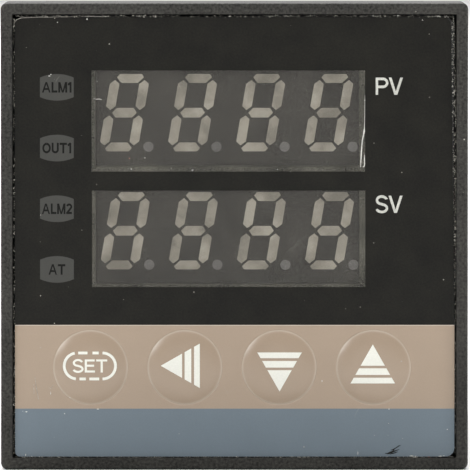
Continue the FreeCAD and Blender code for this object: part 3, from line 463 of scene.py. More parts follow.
# ------------------------------------------------------------------ front film
# One sheet of satin polyester, printed on its rear with a black, a tan and a blue-grey field
# round two smoked windows and four grey ones. A thin pale line parts the black from the tan.
FILM_THICK = 0.25 * MM
DOME_TALL = 0.3 * MM
FILM_LEFT, FILM_LOW, FILM_RIGHT, FILM_TOP = -22.55 * MM, -22.69 * MM, 22.62 * MM, 22.50 * MM
FILM_TOP_RIGHT = 22.24 * MM
FILM_CORNERS = (0.5 * MM, 0.9 * MM, 0.85 * MM, 0.95 * MM)
FILM_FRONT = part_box("front_film")[0].y + DOME_TALL
TAN_RIM = 0.09 * MM
TAN_TOP = -9.13 * MM
TAN_LOW = -17.75 * MM
KEYS = ("set", "shift", "down", "up")
KEY_PLACES = [sum(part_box(key + "_plunger"), Vector()) / 2 for key in KEYS]
CREASE = 3.90 * MM
WINDOWS = {"pv": (-14.68 * MM, 6.64 * MM, 13.42 * MM, 17.03 * MM),
           "sv": (-14.64 * MM, -5.23 * MM, 13.46 * MM, 4.69 * MM)}
PANE_THICK = 0.1 * MM
GLUE_LOW = {"pv": 0.5 * MM, "sv": 0.26 * MM}
GLUE_LEFT = 0.36 * MM
GLUE_RIGHT = 0.62 * MM
GLUE_THICK = 0.008 * MM
LAMPS = ("alarm_1", "output", "alarm_2", "tuning")
LAMP_HALF = 1.735 * MM
LAMP_SIDE = 1.0 * MM
LAMP_ARCH = 0.37 * MM
BLACK_INK = (0.0072, 0.0068, 0.0047)
TAN_INK = (0.362, 0.279, 0.206)
PALE_INK = (0.50, 0.43, 0.35)
BLUE_INK = (0.142, 0.182, 0.215)
GREY_INK = (0.035, 0.035, 0.030)
SMOKE = (0.046, 0.043, 0.037)
GLUE = (0.215, 0.209, 0.165)


def arc(across, up, radius, begin, end, steps=17):
    """Points of an arc: the centre plus the radius times the cosine and sine of each turn."""
    turn = np.radians(np.linspace(begin, end, steps))
    return np.column_stack([across + radius * np.cos(turn), up + radius * np.sin(turn)])


def rounded_box(left, low, right, high, radii=(0, 0, 0, 0)):
    """A rectangle with a quarter arc at each corner, from the lower left one round."""
    corners = zip((left, right, right, left), (low, low, high, high), (1, -1, -1, 1), (1, 1, -1, -1),
                  (180, 270, 0, 90), radii)
    return np.vstack([arc(x + inward * radius, z + upward * radius, radius, begin, begin + 90, 9)
                      if radius else [(x, z)] for x, z, inward, upward, begin, radius in corners])


def barrel(across, up):
    """Straight sides and arched ends. Half a chord c and a rise h give the arcs' radius, which
    is c squared plus h squared, over twice h."""
    radius = (LAMP_HALF ** 2 + LAMP_ARCH ** 2) / (2 * LAMP_ARCH)
    reach = math.degrees(math.asin(LAMP_HALF / radius))
    drop = LAMP_SIDE + LAMP_ARCH - radius
    return np.vstack([arc(across, up + drop, radius, 90 - reach, 90 + reach),
                      arc(across, up - drop, radius, 270 - reach, 270 + reach)])


def plate(name, outlines, front=FILM_FRONT, thick=FILM_THICK):
    """A flat piece that faces the front: the area of the first outline less the others."""
    flat = bpy.data.curves.new(name, "CURVE")
    flat.dimensions = "2D"
    flat.fill_mode = "BOTH"
    flat.extrude = thick / 2
    for outline in outlines:
        spline = flat.splines.new("POLY")
        spline.points.add(len(outline) - 1)
        points = np.column_stack([outline, np.zeros(len(outline)), np.ones(len(outline))])
        spline.points.foreach_set("co", points.ravel())
        spline.use_cyclic_u = True
    holder = bpy.data.objects.new(name, flat)
    bpy.context.scene.collection.objects.link(holder)
    bpy.context.view_layer.update()
    mesh = bpy.data.meshes.new_from_object(holder.evaluated_get(bpy.context.evaluated_depsgraph_get()))
    bpy.data.objects.remove(holder)
    mesh.transform(Matrix.Translation((0, front + thick / 2, 0)) @ Matrix.Rotation(math.pi / 2, 4, "X"))
    return closed(name, mesh)


def hairlines():
    """Fine scratches: thin borders of large warped cells, kept in a few patches only."""
    group, takes, gives = effect("hairlines", {"Cells per metre": 130, "Width": 0.006}, ["Mask"])
    place = takes["Vector"]
    warp = add(group, "TexNoise", {"Vector": place, "Scale": 300.0}).outputs["Color"]
    bent = add(group, "VectorMath", {0: warp, 1: (0.002, 0.002, 0.002), 2: place},
               operation="MULTIPLY_ADD").outputs[0]
    cells = add(group, "TexVoronoi", {"Vector": bent, "Scale": takes["Cells per metre"]},
                feature="DISTANCE_TO_EDGE", voronoi_dimensions="2D").outputs["Distance"]
    thin = calc(group, "LESS_THAN", cells, takes["Width"])
    patches = spread(group, noise(group, place, 210.0, 3.0), 0.56, 0.66)
    group.links.new(calc(group, "MULTIPLY", thin, patches), gives["Mask"])
    return group


HAIRLINES = hairlines()
FLAT_DUST = dust("flat_dust", "2D")


def printed_film(name, colour, mottle=0.06, roughness=0.36, dusty=0.1, scratched=0.25, **fixed):
    """Ink behind satin film: faint clouds and tooth in its colour, with scratches and dust."""
    material, tree, shader, place = finish(name, roughness, **fixed)
    x, _, z = add(tree, "SeparateXYZ", {0: place}).outputs
    flat = add(tree, "CombineXYZ", {0: x, 1: z}).outputs[0]
    tooth = noise(tree, flat, 5200.0)
    cloudy = calc(tree, "ADD", noise(tree, flat, 240.0, 4.0, 0.6), tooth)
    gain = spread(tree, cloudy, 0.7, 1.3, 1 - mottle, 1 + mottle)
    ink = add(tree, "VectorMath", {0: colour, "Scale": gain}, operation="SCALE").outputs[0]
    lines = shared(tree, HAIRLINES, flat)[0]
    lined = over(tree, calc(tree, "MULTIPLY", lines, scratched), ink, DUST_COLOUR)
    specks = shared(tree, FLAT_DUST, flat, Share=dusty)[0]
    wire(tree, shader, over(tree, specks, lined, DUST_COLOUR), tooth, 0.004 * MM, 0.25)
    return material


def lamp_place(name):
    """The middle of an indicator lamp, across and up."""
    low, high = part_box(name + "_lamp")
    return (low.x + high.x) / 2, (low.z + high.z) / 2


def on_front(piece, material, *nodes, body="chassis"):
    """Fit a piece of the printed front, or something that lies on it."""
    fit(piece, "front_print", material, *nodes, body=body)


black_print = printed_film("black_print", BLACK_INK, 0.6, dusty=0.09, scratched=0.0, Specular_IOR_Level=0.2)
pale_print = printed_film("pale_print", PALE_INK)
tan_print = printed_film("tan_print", TAN_INK, 0.025, 0.26, dusty=0.05, scratched=0.1)
blue_print = printed_film("blue_print", BLUE_INK, 0.035, dusty=0.12, scratched=0.3)
right_round, left_round = FILM_CORNERS[2:]
black = np.vstack([[(FILM_LEFT, TAN_TOP), (FILM_RIGHT, TAN_TOP)],
                   arc(FILM_TOP_RIGHT - right_round, FILM_TOP - right_round, right_round, 0, 90),
                   arc(FILM_LEFT + left_round, FILM_TOP - left_round, left_round, 90, 180)])
window_holes = [rounded_box(*window) for window in WINDOWS.values()]
lamp_holes = [barrel(*lamp_place(name)) for name in LAMPS]
pale = rounded_box(FILM_LEFT, TAN_TOP - TAN_RIM, FILM_RIGHT, TAN_TOP)
tan = rounded_box(FILM_LEFT, TAN_LOW, FILM_RIGHT, TAN_TOP - TAN_RIM)
key_holes = [arc(place.x, place.z, CREASE, 0, 357, 120) for place in KEY_PLACES]
blue = rounded_box(FILM_LEFT, FILM_LOW, FILM_RIGHT, TAN_LOW, FILM_CORNERS[:2] + (0, 0))
on_front(plate("film_black_field", [black] + window_holes + lamp_holes), black_print, "front_film")
on_front(plate("film_tan_rim", [pale]), pale_print)
on_front(plate("film_tan_field", [tan] + key_holes), tan_print)
on_front(plate("film_blue_field", [blue]), blue_print)

smoked = printed_film("smoked_window", SMOKE, 0.9, 0.3, dusty=0.2, scratched=0.3, Alpha=0.28)
glue = printed_film("window_glue", GLUE, 0.7, dusty=0.3, scratched=0.3, Alpha=0.75)
for name, (left, low, right, high) in WINDOWS.items():
    pane = rounded_box(left, low, right, high)
    on_front(plate(name + "_window", [pane], thick=PANE_THICK), smoked)
    inner_left, inner_right, inner_low = left + GLUE_LEFT, right - GLUE_RIGHT, low + GLUE_LOW[name]
    line = np.array([(left, low), (right, low), (right, high), (inner_right, high), (inner_right, inner_low),
                     (inner_left, inner_low), (inner_left, high), (left, high)])
    on_front(plate(name + "_window_glue", [line], FILM_FRONT + PANE_THICK + GLUE_THICK, GLUE_THICK), glue)
grey_print = printed_film("grey_window", GREY_INK)
for name in LAMPS:
    on_front(plate(name + "_window", [barrel(*lamp_place(name))]), grey_print)

# ------------------------------------------------------------------ embossed keys
# Each key is a low flat-topped dome pressed into the film, with a shallow crease round its
# foot. The film gives when a key is pressed.
DOME_RADIUS = 3.77 * MM
DOME_POWER = 5
CREASE_DEEP = 0.03 * MM
# Width and share of a pale ring painted round each dome's foot: a painted highlight along the rim, together
# with print paled where the film is stretched.
SHEEN_AND_STRETCH_WIDTH = 0.1 * MM
SHEEN_AND_STRETCH_SHARE = 0.55


def dome(name, place):
    """The film's front rises as one less a high power of the radius' share, nearly flat but
    near the rim. A crease of half a sine wave is round it. Its back is the same, one thickness
    behind. The rings are spaced as a sine, closer towards the rim. An attribute holds a bell
    over the distance from the rim: a pale ring that is a painted highlight along the rim,
    together with how hard the press has stretched the print."""
    share, crease = np.sin(np.linspace(0, math.pi / 2, 24)), np.linspace(0, 1, 9)[1:]
    radii = np.concatenate([DOME_RADIUS * share, DOME_RADIUS + (CREASE - DOME_RADIUS) * crease])
    rise = np.concatenate([DOME_TALL * (1 - share ** DOME_POWER), -CREASE_DEEP * np.sin(math.pi * crease)])
    level = np.concatenate([FILM_FRONT - rise, (FILM_FRONT + FILM_THICK - rise)[::-1]])
    points = turned(np.concatenate([radii, radii[::-1]]), level, 120) + (place.x, 0, place.z)
    piece = grid_piece(name, points, sharp=60)
    spots = np.empty(len(piece.data.vertices) * 3)
    piece.data.vertices.foreach_get("co", spots)
    reach = np.hypot(spots[0::3] - place.x, spots[2::3] - place.z)
    sheen_and_stretch = np.exp(-((reach - DOME_RADIUS) / SHEEN_AND_STRETCH_WIDTH) ** 2)
    piece.data.attributes.new("sheen_and_stretch", "FLOAT", "POINT").data.foreach_set("value", sheen_and_stretch)
    return piece


dome_print_and_sheen = printed_film("dome_print_and_sheen", TAN_INK, 0.025, 0.26, dusty=0.05, scratched=0.1)
tree = dome_print_and_sheen.node_tree
shader = tree.nodes["Principled BSDF"].inputs
# A pale ring is painted over the print at each dome's foot: a painted highlight along the rim, together with
# print paled where the press stretched it.
sheen_and_stretch = add(tree, "Attribute", attribute_name="sheen_and_stretch").outputs["Fac"]
printed = shader["Base Color"].links[0].from_socket
print_with_sheen = over(tree, calc(tree, "MULTIPLY", sheen_and_stretch, SHEEN_AND_STRETCH_SHARE), printed, PALE_INK + (1,))
tree.links.new(print_with_sheen, shader["Base Color"])
for key, place in zip(KEYS, KEY_PLACES):
    button = dome(key + "_dome", place)
    button.data.materials.append(dome_print_and_sheen)
    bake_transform(button)

# ------------------------------------------------------------------ lettering and key signs
# Function lettering in screened ink: the names of the two readings and the signs of the keys in
# white, the names of the lamps in black. Each letter is strokes of one width, cut square.
INK_THICK = 0.02 * MM
INK_PROUD = 0.012 * MM
PEN = 0.15
SIGN_FRONT = FILM_FRONT - DOME_TALL - INK_PROUD
INK_FRONT = FILM_FRONT - INK_PROUD


def pen_line(spine, width):
    """A stroke: the spine moved half a pen to each side along its normals, with both ends cut
    square. A normal is the difference of the two neighbours turned by a right angle."""
    spine = np.asarray(spine, float)
    ahead = np.gradient(spine, axis=0)
    ahead /= np.linalg.norm(ahead, axis=1)[:, None]
    aside = np.column_stack([-ahead[:, 1], ahead[:, 0]]) * width / 2
    return np.vstack([spine + aside, (spine - aside)[::-1]])


def bar(x0, z0, x1, z1, pen):
    """A straight stroke between two points."""
    return pen_line([(x0, z0), (x1, z1)], pen)


def bow(x, z, wide, tall, begin, end, pen):
    """A stroke along an ellipse, to half its width and height from the centre."""
    turn = np.radians(np.linspace(begin, end, 33))
    return pen_line(np.column_stack([x + wide * np.cos(turn), z + tall * np.sin(turn)]), pen)


def drawn_stroke(stroke, pen):
    """The outline of a stroke given as a bar's four numbers, a bow's six, or as its points."""
    if np.ndim(stroke) == 2:
        return np.array(stroke)
    return bar(*stroke, pen) if len(stroke) == 4 else bow(*stroke, pen)


def double_bow(pen):
    """An S: the left arc of an upper ellipse runs on into the right arc of a lower one."""
    turn = np.radians(np.concatenate([np.linspace(15, 270, 33), np.linspace(90, -165, 33)[1:]]))
    wide, up = np.repeat([(0.30, 0.735), (0.325, 0.27)], [33, 32], axis=0).T
    return pen_line(np.column_stack([0.40 + wide * np.cos(turn), up + (0.237 - pen / 8) * np.sin(turn)]), pen)


def hooked_line(pen):
    """The arch of a 2 and its slanted line."""
    turn = np.radians(np.linspace(165, -40, 25))
    hook = np.column_stack([0.33 + 0.25 * np.cos(turn), 0.70 + (0.30 - pen / 2) * np.sin(turn)])
    return pen_line(np.vstack([hook, [(0.30, 0.33), (pen / 2, pen / 2)]]), pen)


def letter(mark, pen):
    """The strokes of a letter one unit tall, and its width. The pen stays inside both. Four
    numbers are a bar, six a bow, and pairs of numbers a filled outline."""
    h = pen / 2
    stem = (h, 0, h, 1)
    width, strokes = {
        "P": (0.79, [stem, (0, 1 - h, 0.45, 1 - h), (0, 0.46, 0.45, 0.46),
                     (0.44, 0.73 - h / 2, 0.27, 0.27 - h / 2, -92, 92)]),
        "V": (0.88, [((0, 1), (0.17, 1), (0.44, 0.2), (0.71, 1), (0.88, 1), (0.53, 0), (0.35, 0))]),
        "S": (0.80, [double_bow(pen)]),
        "E": (0.74, [stem, (0, 1 - h, 0.72, 1 - h), (0, 0.52, 0.68, 0.52), (0, h, 0.74, h)]),
        "T": (0.80, [(0.40, 0, 0.40, 1), (0, 1 - h, 0.80, 1 - h)]),
        "A": (0.92, [((0, 0), (0.17, 0), (0.46, 0.82), (0.75, 0), (0.92, 0), (0.55, 1), (0.37, 1)),
                     bar(0.18, 0.34, 0.74, 0.34, pen * 0.9)]),
        "L": (0.62, [stem, (0, h, 0.62, h)]),
        "M": (0.94, [stem, (0.94 - h, 0, 0.94 - h, 1),
                     ((0, 1), (0.22, 1), (0.47, 0.2), (0.72, 1), (0.94, 1), (0.55, 0), (0.39, 0))]),
        "O": (0.92, [(0.46, 0.5, 0.46 - h, 0.5 - h, 85, 275), (0.46, 0.5, 0.46 - h, 0.5 - h, -95, 95)]),
        "U": (0.77, [(h, 0.32, h, 1), (0.77 - h, 0.32, 0.77 - h, 1),
                     (0.385, 0.335, 0.385 - h, 0.335 - h, 178, 362)]),
        "1": (0.38, [(0.36 - h, 0, 0.36 - h, 1), (0.0, 0.74, 0.36 - h, 0.95)]),
        "2": (0.64, [hooked_line(pen), (0, h, 0.64, h)])}[mark]
    return [drawn_stroke(stroke, pen) for stroke in strokes], width


def winding(outline):
    """Twice the area of a polygon, positive where it runs anticlockwise."""
    ahead = np.roll(outline, -1, axis=0)
    return np.sum(outline[:, 0] * ahead[:, 1] - outline[:, 1] * ahead[:, 0])


def inked(name, shapes, front):
    """Ink of many overlapping shapes as one thin closed layer that faces the front. A flat
    triangulation joins the shapes, and the outline of the sum gets a wall."""
    anticlockwise = [shape[::-1] if winding(shape) < 0 else shape for shape in shapes]
    corners = [Vector(point) for shape in anticlockwise for point in shape.tolist()]
    ends = np.cumsum([0] + [len(shape) for shape in shapes])
    loops = [list(range(begin, end)) for begin, end in zip(ends[:-1], ends[1:])]
    spots, _, faces, _, _, owners = geometry.delaunay_2d_cdt(corners, [], loops, 1, 1e-8)
    faces = [face for face, owner in zip(faces, owners) if owner]
    mesh = bpy.data.meshes.new(name)
    mesh.from_pydata([(spot.x, front + INK_THICK, spot.y) for spot in spots], [], faces)
    layer = bmesh.new()
    layer.from_mesh(mesh)
    raised = bmesh.ops.extrude_face_region(layer, geom=layer.faces[:], use_keep_orig=True)["geom"]
    front_points = [item for item in raised if isinstance(item, bmesh.types.BMVert)]
    bmesh.ops.translate(layer, vec=(0, -INK_THICK, 0), verts=front_points)
    layer.to_mesh(mesh)
    layer.free()
    return closed(name, mesh)


def word(name, marks, across, up, wide, tall, front, pen=PEN, spacing=0.1):
    """Letters side by side, brought to a height and together to a width about a centre."""
    shapes, cursor = [], 0.0
    for mark in marks:
        strokes, width = letter(mark, pen)
        shapes += [stroke + (cursor, 0.0) for stroke in strokes]
        cursor += width + spacing
    scale, corner = np.array([wide / (cursor - spacing), tall]), (across - wide / 2, up - tall / 2)
    return inked(name, [stroke * scale + corner for stroke in shapes], front)


white_ink = printed_film("white_ink", (0.80, 0.80, 0.73), 0.05, dusty=0.0, scratched=0.0)
reading_ink = printed_film("reading_ink", (0.50, 0.50, 0.455), 0.3, dusty=0.0, scratched=0.0)
black_ink = printed_film("black_ink", (0.005, 0.005, 0.004), 0.1, dusty=0.0, scratched=0.0,
                         Specular_IOR_Level=0.15)
READINGS = {"PV": (15.91 * MM, 15.42 * MM), "SV": (15.88 * MM, 3.28 * MM)}
READING_SIZE = (2.80 * MM, 1.76 * MM)
LAMP_NAMES = {"ALM1": 3.05 * MM, "OUT1": 2.98 * MM, "ALM2": 3.08 * MM, "AT": 1.72 * MM}
LAMP_NAME_TALL = 1.08 * MM
LAMP_PEN = 0.2
for marks, place in READINGS.items():
    name = word(marks.lower() + "_name", marks, *place, *READING_SIZE, INK_FRONT, spacing=0.02)
    on_front(name, reading_ink)
for name, (marks, wide) in zip(LAMPS, LAMP_NAMES.items()):
    sign = word(name + "_name", marks, *lamp_place(name), wide, LAMP_NAME_TALL, INK_FRONT, LAMP_PEN)
    on_front(sign, black_ink)

STADIUM_LINE = 0.285 * MM
STADIUM_RADIUS = 1.335 * MM
STADIUM_RISE = -13.34 * MM
STADIUM_ENDS = ((-16.16 * MM, 101, 264), (-13.56 * MM, -90, 90))
UPPER_DASHES = ((-16.06, -15.10), (-14.59, -13.95))
LOWER_DASHES = ((-15.93, -15.27), (-14.91, -13.90))
SET_PLACE = (-14.86 * MM, STADIUM_RISE)
SET_SIZE = (3.57 * MM, 1.35 * MM)
SET_PEN, SET_SPACING = 0.158, 0.09
frame_lines = [pen_line(arc(across, STADIUM_RISE, STADIUM_RADIUS, begin, end, 49), STADIUM_LINE)
               for across, begin, end in STADIUM_ENDS]
for dashes, side in ((UPPER_DASHES, 1), (LOWER_DASHES, -1)):
    level = STADIUM_RISE + side * STADIUM_RADIUS
    frame_lines += [bar(begin * MM, level, end * MM, level, STADIUM_LINE) for begin, end in dashes]
on_front(inked("set_frame", frame_lines, SIGN_FRONT), white_ink, body="set_key")
set_sign = word("set_sign", "SET", *SET_PLACE, *SET_SIZE, SIGN_FRONT, SET_PEN, SET_SPACING)
on_front(set_sign, white_ink, body="set_key")

ARROW_HALF = 2.29 * MM
ARROW_TALL = 4.02 * MM
ARROW_BARS = ((0.0, 0.547), (0.612, 0.782), (0.853, 1.0))
ARROWS = {"shift": (-7.58, -13.32, 90), "down": (4.64, -15.97, 180), "up": (14.22, -11.12, 0)}
for key, (across, up, angle) in ARROWS.items():
    turn = math.radians(angle)
    spin = np.array([(math.cos(turn), math.sin(turn)), (-math.sin(turn), math.cos(turn))])
    slices = [np.array([(-begin, -begin), (begin, -begin), (end, -end), (-end, -end)])
              * (ARROW_HALF, ARROW_TALL) for begin, end in ARROW_BARS]
    slices[0] = slices[0][1:]
    placed = [part @ spin + (across * MM, up * MM) for part in slices]
    on_front(inked(key + "_sign", placed, SIGN_FRONT), white_ink, body=key + "_key")

# ------------------------------------------------------------------ digit displays
# Each module is a pale moulded shell, its face painted grey but for the bevel, with milky
# resin cast through the strokes and points of four digits, flush with the face.
DIGITS = 4
DIGIT_PITCH = 7.0 * MM
DIGIT_SLANT = 0.17
FACE_INSET = 0.22 * MM
FACE_BEVEL = 0.176 * MM
FACE_THICK = 0.4 * MM
SHELL_WALL = 1.0 * MM
SHELL_ROUND = 0.2 * MM
LEDGE_INNER, LEDGE_OUTER = 0.8 * MM, 0.88 * MM
STROKE_ROUND = 0.035 * MM
DIGIT_STARTS = {"pv": (-11.30 * MM, 12.68 * MM), "sv": (-11.22 * MM, 0.54 * MM)}
CAP_STROKE = ((-1.12, 3.98), (1.12, 3.98), (1.38, 3.64), (0.84, 3.06), (-0.84, 3.06), (-1.38, 3.64))
MIDDLE_STROKE = ((-0.86, 0.5), (0.86, 0.5), (1.27, 0.0), (0.86, -0.5), (-0.86, -0.5), (-1.27, 0.0))
SIDE_STROKE = ((0.0, 3.36), (0.495, 2.96), (0.495, 0.67), (0.0, 0.27), (-0.495, 0.67), (-0.495, 2.96))
SIDE_ACROSS = 1.515
POINT_ACROSS, POINT_UP, POINT_RADIUS = 2.46 * MM, -3.50 * MM, 0.525 * MM


def eased(outline):
    """A polygon with its corners rounded: each gives way to a Bezier arc between two points set
    back along its sides, (1-t) squared, 2t(1-t) and t squared of back, corner and ahead."""
    back, ahead = np.roll(outline, 1, axis=0) - outline, np.roll(outline, -1, axis=0) - outline
    back *= STROKE_ROUND / np.linalg.norm(back, axis=1)[:, None]
    ahead *= STROKE_ROUND / np.linalg.norm(ahead, axis=1)[:, None]
    t = np.linspace(0, 1, 5)[None, :, None]
    bent = outline[:, None] + (1 - t) ** 2 * back[:, None] + t ** 2 * ahead[:, None]
    return bent.reshape(-1, 2)


def digit(across, up):
    """The seven strokes of an eight that leans: across grows with the rise by the slant."""
    upper, middle, side = np.array(CAP_STROKE), np.array(MIDDLE_STROKE), np.array(SIDE_STROKE)
    strokes = [upper, middle, upper * (1, -1)]
    strokes += [side * (1, rise) + (shift * SIDE_ACROSS, 0) for rise in (1, -1) for shift in (-1, 1)]
    lean = np.array([(1, 0), (DIGIT_SLANT, 1)])
    return [eased(stroke @ lean * MM) + (across, up) for stroke in strokes]


def shell(name, low, high):
    """A module's walls: rings of a rectangle that pass from the face's edge over the bevel and
    down the side, then back up inside to a ledge under the face."""
    inset = np.array([FACE_INSET, 0.0, 0.0, SHELL_WALL, SHELL_WALL, FACE_INSET])[:, None, None]
    tall = high.y - low.y
    level = low.y + np.array([0.0, FACE_BEVEL, tall, tall, LEDGE_OUTER, LEDGE_INNER])[:, None]
    box = rounded_box(low.x, low.z, high.x, high.z, (SHELL_ROUND,) * 4)
    centre = np.array([(low.x + high.x) / 2, (low.z + high.z) / 2])
    half = np.array([(high.x - low.x) / 2, (high.z - low.z) / 2])
    flat = centre + (box - centre) * (1 - inset / half)
    rings = np.stack([flat[..., 0], np.broadcast_to(level, flat.shape[:2]), flat[..., 1]], -1)
    return grid_piece(name, rings, wrap_rows=True)


face_paint = moulded_plastic("display_face", (0.042, 0.040, 0.034), (0.134, 0.125, 0.107), 0.5, 4600,
                             0.004 * MM, 0.1)
shell_plastic = moulded_plastic("display_shell", (0.42, 0.40, 0.35), (0.52, 0.50, 0.44), 0.45, 1800,
                                0.006 * MM, 0.1)
resin = moulded_plastic("display_resin", (0.48, 0.44, 0.36), (0.94, 0.87, 0.72), 0.35, 300,
                        0.004 * MM, 0.0)
dim_resin = moulded_plastic("point_resin", (0.27, 0.26, 0.245), (0.37, 0.355, 0.335), 0.35, 1500,
                            0.004 * MM, 0.0)
for name, (first, up) in DIGIT_STARTS.items():
    low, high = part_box(name + "_display_shell")
    starts = [first + place * DIGIT_PITCH for place in range(DIGITS)]
    strokes = [stroke for across in starts for stroke in digit(across, up)]
    points = [arc(across + POINT_ACROSS, up + POINT_UP, POINT_RADIUS, 0, 350, 36) for across in starts]
    face = rounded_box(low.x + FACE_INSET, low.z + FACE_INSET, high.x - FACE_INSET, high.z - FACE_INSET)
    face_plate = plate(name + "_face", [face] + strokes + points, low.y, FACE_THICK)
    fit(face_plate, "display_face", face_paint, name + "_display_shell")
    fit(shell(name + "_shell", low, high), "display_face", shell_plastic)
    milky = plate(name + "_strokes", strokes, low.y + INK_PROUD, FACE_THICK)
    fit(milky, "display_resin", resin, name + "_display_resin")
    dim = plate(name + "_points", points, low.y + INK_PROUD, FACE_THICK)
    fit(dim, "display_resin", dim_resin)

# ------------------------------------------------------------------ settled dust
# Dust, lint and shreds of glue in the gap between the film and the case and on the film, with
# the scratches and the scuff of use. The tables give a thread's places and widths, and a
# speck's place and half sizes, in millimetres.
GRAINS = {"left": 400, "top": 420, "right": 900, "bottom": 520}
GRAIN_SIZE = 0.06 * MM
GAP = 0.17 * MM
GAP_REACH = 22.5
CASE_SIDE = 22.78 * MM
RIGHT_WIDER, BOTTOM_NARROWER = 2.2, 0.5
CORNER_SHARES = (0.7, 1.3)
OUT_SHARES = (0.1, 1.1)
DEPTH_SHARES = (0.2, 1.0)
SIDE_SHARES, SIDE_POWER = (0.4, 1.0), 1.3
SIZE_SHARES = (0.8, 1.8)
PANEL_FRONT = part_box("front_panel")[0].y
SPECK_FLAT = 0.6
THREAD_FLAT = 0.5
CORNERS = np.array([(1, 0, 0), (0, 1, 0), (-1, 0, 0), (0, -1, 0), (0, 0, 1), (0, 0, -1)], float)
WEDGES = np.array([(0, 1, 4), (1, 2, 4), (2, 3, 4), (3, 0, 4), (1, 0, 5), (2, 1, 5), (3, 2, 5), (0, 3, 5)])
SHREDS = {
    "glue_thread": ((13.4, 14.5, 0.02), (13.39, 13.2, 0.03), (13.37, 11.6, 0.04), (13.35, 11.1, 0.07),
                    (13.33, 10.8, 0.17), (13.28, 10.5, 0.12), (13.13, 9.8, 0.09), (13.04, 8.6, 0.12),
                    (12.99, 7.7, 0.09), (12.96, 7.1, 0.05)),
    "glue_shred": ((13.37, 8.4, 0.03), (13.36, 7.9, 0.09), (13.37, 7.4, 0.1), (13.34, 7.2, 0.08),
                   (13.2, 7.1, 0.04)),
    "window_fibre": ((-14.45, 14.12, 0.03), (-14.15, 14.08, 0.05), (-13.85, 14.1, 0.06),
                     (-13.62, 14.02, 0.03))}
LINT = {
    "corner_lint": ((-22.68, 21.2, 0.02), (-22.62, 21.9, 0.05), (-22.36, 22.25, 0.05),
                    (-21.85, 22.44, 0.06), (-21, 22.47, 0.04), (-19.9, 22.52, 0.05),
                    (-18.9, 22.5, 0.03), (-17.9, 22.56, 0.05), (-17.2, 22.53, 0.03),
                    (-16.5, 22.58, 0.02)),
    "upper_lint": ((-15.4, 22.56, 0.02), (-14.4, 22.6, 0.06), (-13.5, 22.55, 0.04),
                   (-12.8, 22.6, 0.02)),
    "first_scratch": ((-20.52, -14.45, 0.03), (-20.4, -15.4, 0.05), (-20.27, -16.1, 0.06),
                      (-20.13, -16.8, 0.03)),
    "second_scratch": ((-20.66, -15.2, 0.02), (-20.6, -15.9, 0.04), (-20.62, -16.3, 0.02)),
    "third_scratch": ((-19.1, -15.5, 0.02), (-18.95, -15.75, 0.04), (-18.6, -15.3, 0.02))}
SCUFFS = {
    "long_scuff": ((15.5, -22.34, 0.05), (15.75, -22.38, 0.13), (16, -22.3, 0.21),
                   (16.3, -22.16, 0.17), (16.6, -22.08, 0.11), (16.97, -21.93, 0.04)),
    "upper_scuff": ((16.05, -22.02, 0.03), (16.3, -21.98, 0.13), (16.55, -21.83, 0.09),
                    (16.9, -21.6, 0.1), (17.1, -21.52, 0.03)),
    "lower_scuff": ((16, -22.46, 0.03), (16.25, -22.36, 0.1), (16.5, -22.3, 0.12),
                    (16.8, -22.2, 0.04)),
    "cross_scuff": ((16.2, -22.33, 0.04), (16.32, -22.1, 0.09), (16.5, -21.9, 0.04))}
SPECKS = ((-15.13, 22.3, 0.08, 0.08), (-19.04, 16.46, 0.13, 0.06), (-18.85, 16.62, 0.05, 0.05),
          (-18.16, 21.97, 0.05, 0.04), (20.9, 22.6, 0.07, 0.1), (16.8, 22.66, 0.12, 0.05),
          (14.25, 22.66, 0.05, 0.07), (19.3, 22.2, 0.09, 0.03), (-21.4, -18.08, 0.18, 0.05),
          (-21.75, -18.02, 0.06, 0.03), (-17.47, -18.26, 0.05, 0.08), (-14.04, -17.8, 0.11, 0.06),
          (-21.47, -22.5, 0.05, 0.13), (-20.85, -22.68, 0.07, 0.05), (-22.72, -17.35, 0.06, 0.1),
          (-18.9, -16.18, 0.04, 0.2), (-16.9, -16.6, 0.07, 0.06), (15.9, -17.8, 0.05, 0.07),
          (22.7, -17.2, 0.05, 0.08), (21.9, -19.9, 0.06, 0.06), (18.25, -22.62, 0.28, 0.05),
          (18.62, -22.66, 0.1, 0.04), (21.2, -22.66, 0.3, 0.05), (21.55, -22.6, 0.12, 0.04),
          (12.7, -22.3, 0.03, 0.25), (-9.2, 8.05, 0.06, 0.05), (-14.1, 15.9, 0.05, 0.05),
          (-10.6, 6.9, 0.08, 0.05), (-4.3, 6.8, 0.12, 0.05), (13.38, 13.95, 0.07, 0.06),
          (-6.5, 7, 0.05, 0.04), (4.4, 6.85, 0.06, 0.04), (9, -14.9, 0.04, 0.1))
RED_SPECKS = ((20, -22.72, 0.1, 0.06), (-10.8, 8, 0.05, 0.1), (7.95, -13.3, 0.06, 0.05))
drawn = np.random.default_rng(7)
grey_dust = moulded_plastic("grey_dust", (0.03, 0.03, 0.026), (0.80, 0.77, 0.68), 0.85, 3000,
                            0.01 * MM, 0.0)
white_shred = moulded_plastic("white_shred", (0.50, 0.49, 0.46), (0.86, 0.85, 0.80), 0.5, 5000,
                              0.01 * MM, 0.0)
red_shred = moulded_plastic("red_shred", (0.34, 0.12, 0.10), (0.50, 0.22, 0.18), 0.6, 5000,
                            0.01 * MM, 0.0)
grey_lint = moulded_plastic("grey_lint", (0.20, 0.19, 0.17), (0.52, 0.50, 0.44), 0.8, 4000,
                            0.01 * MM, 0.0)


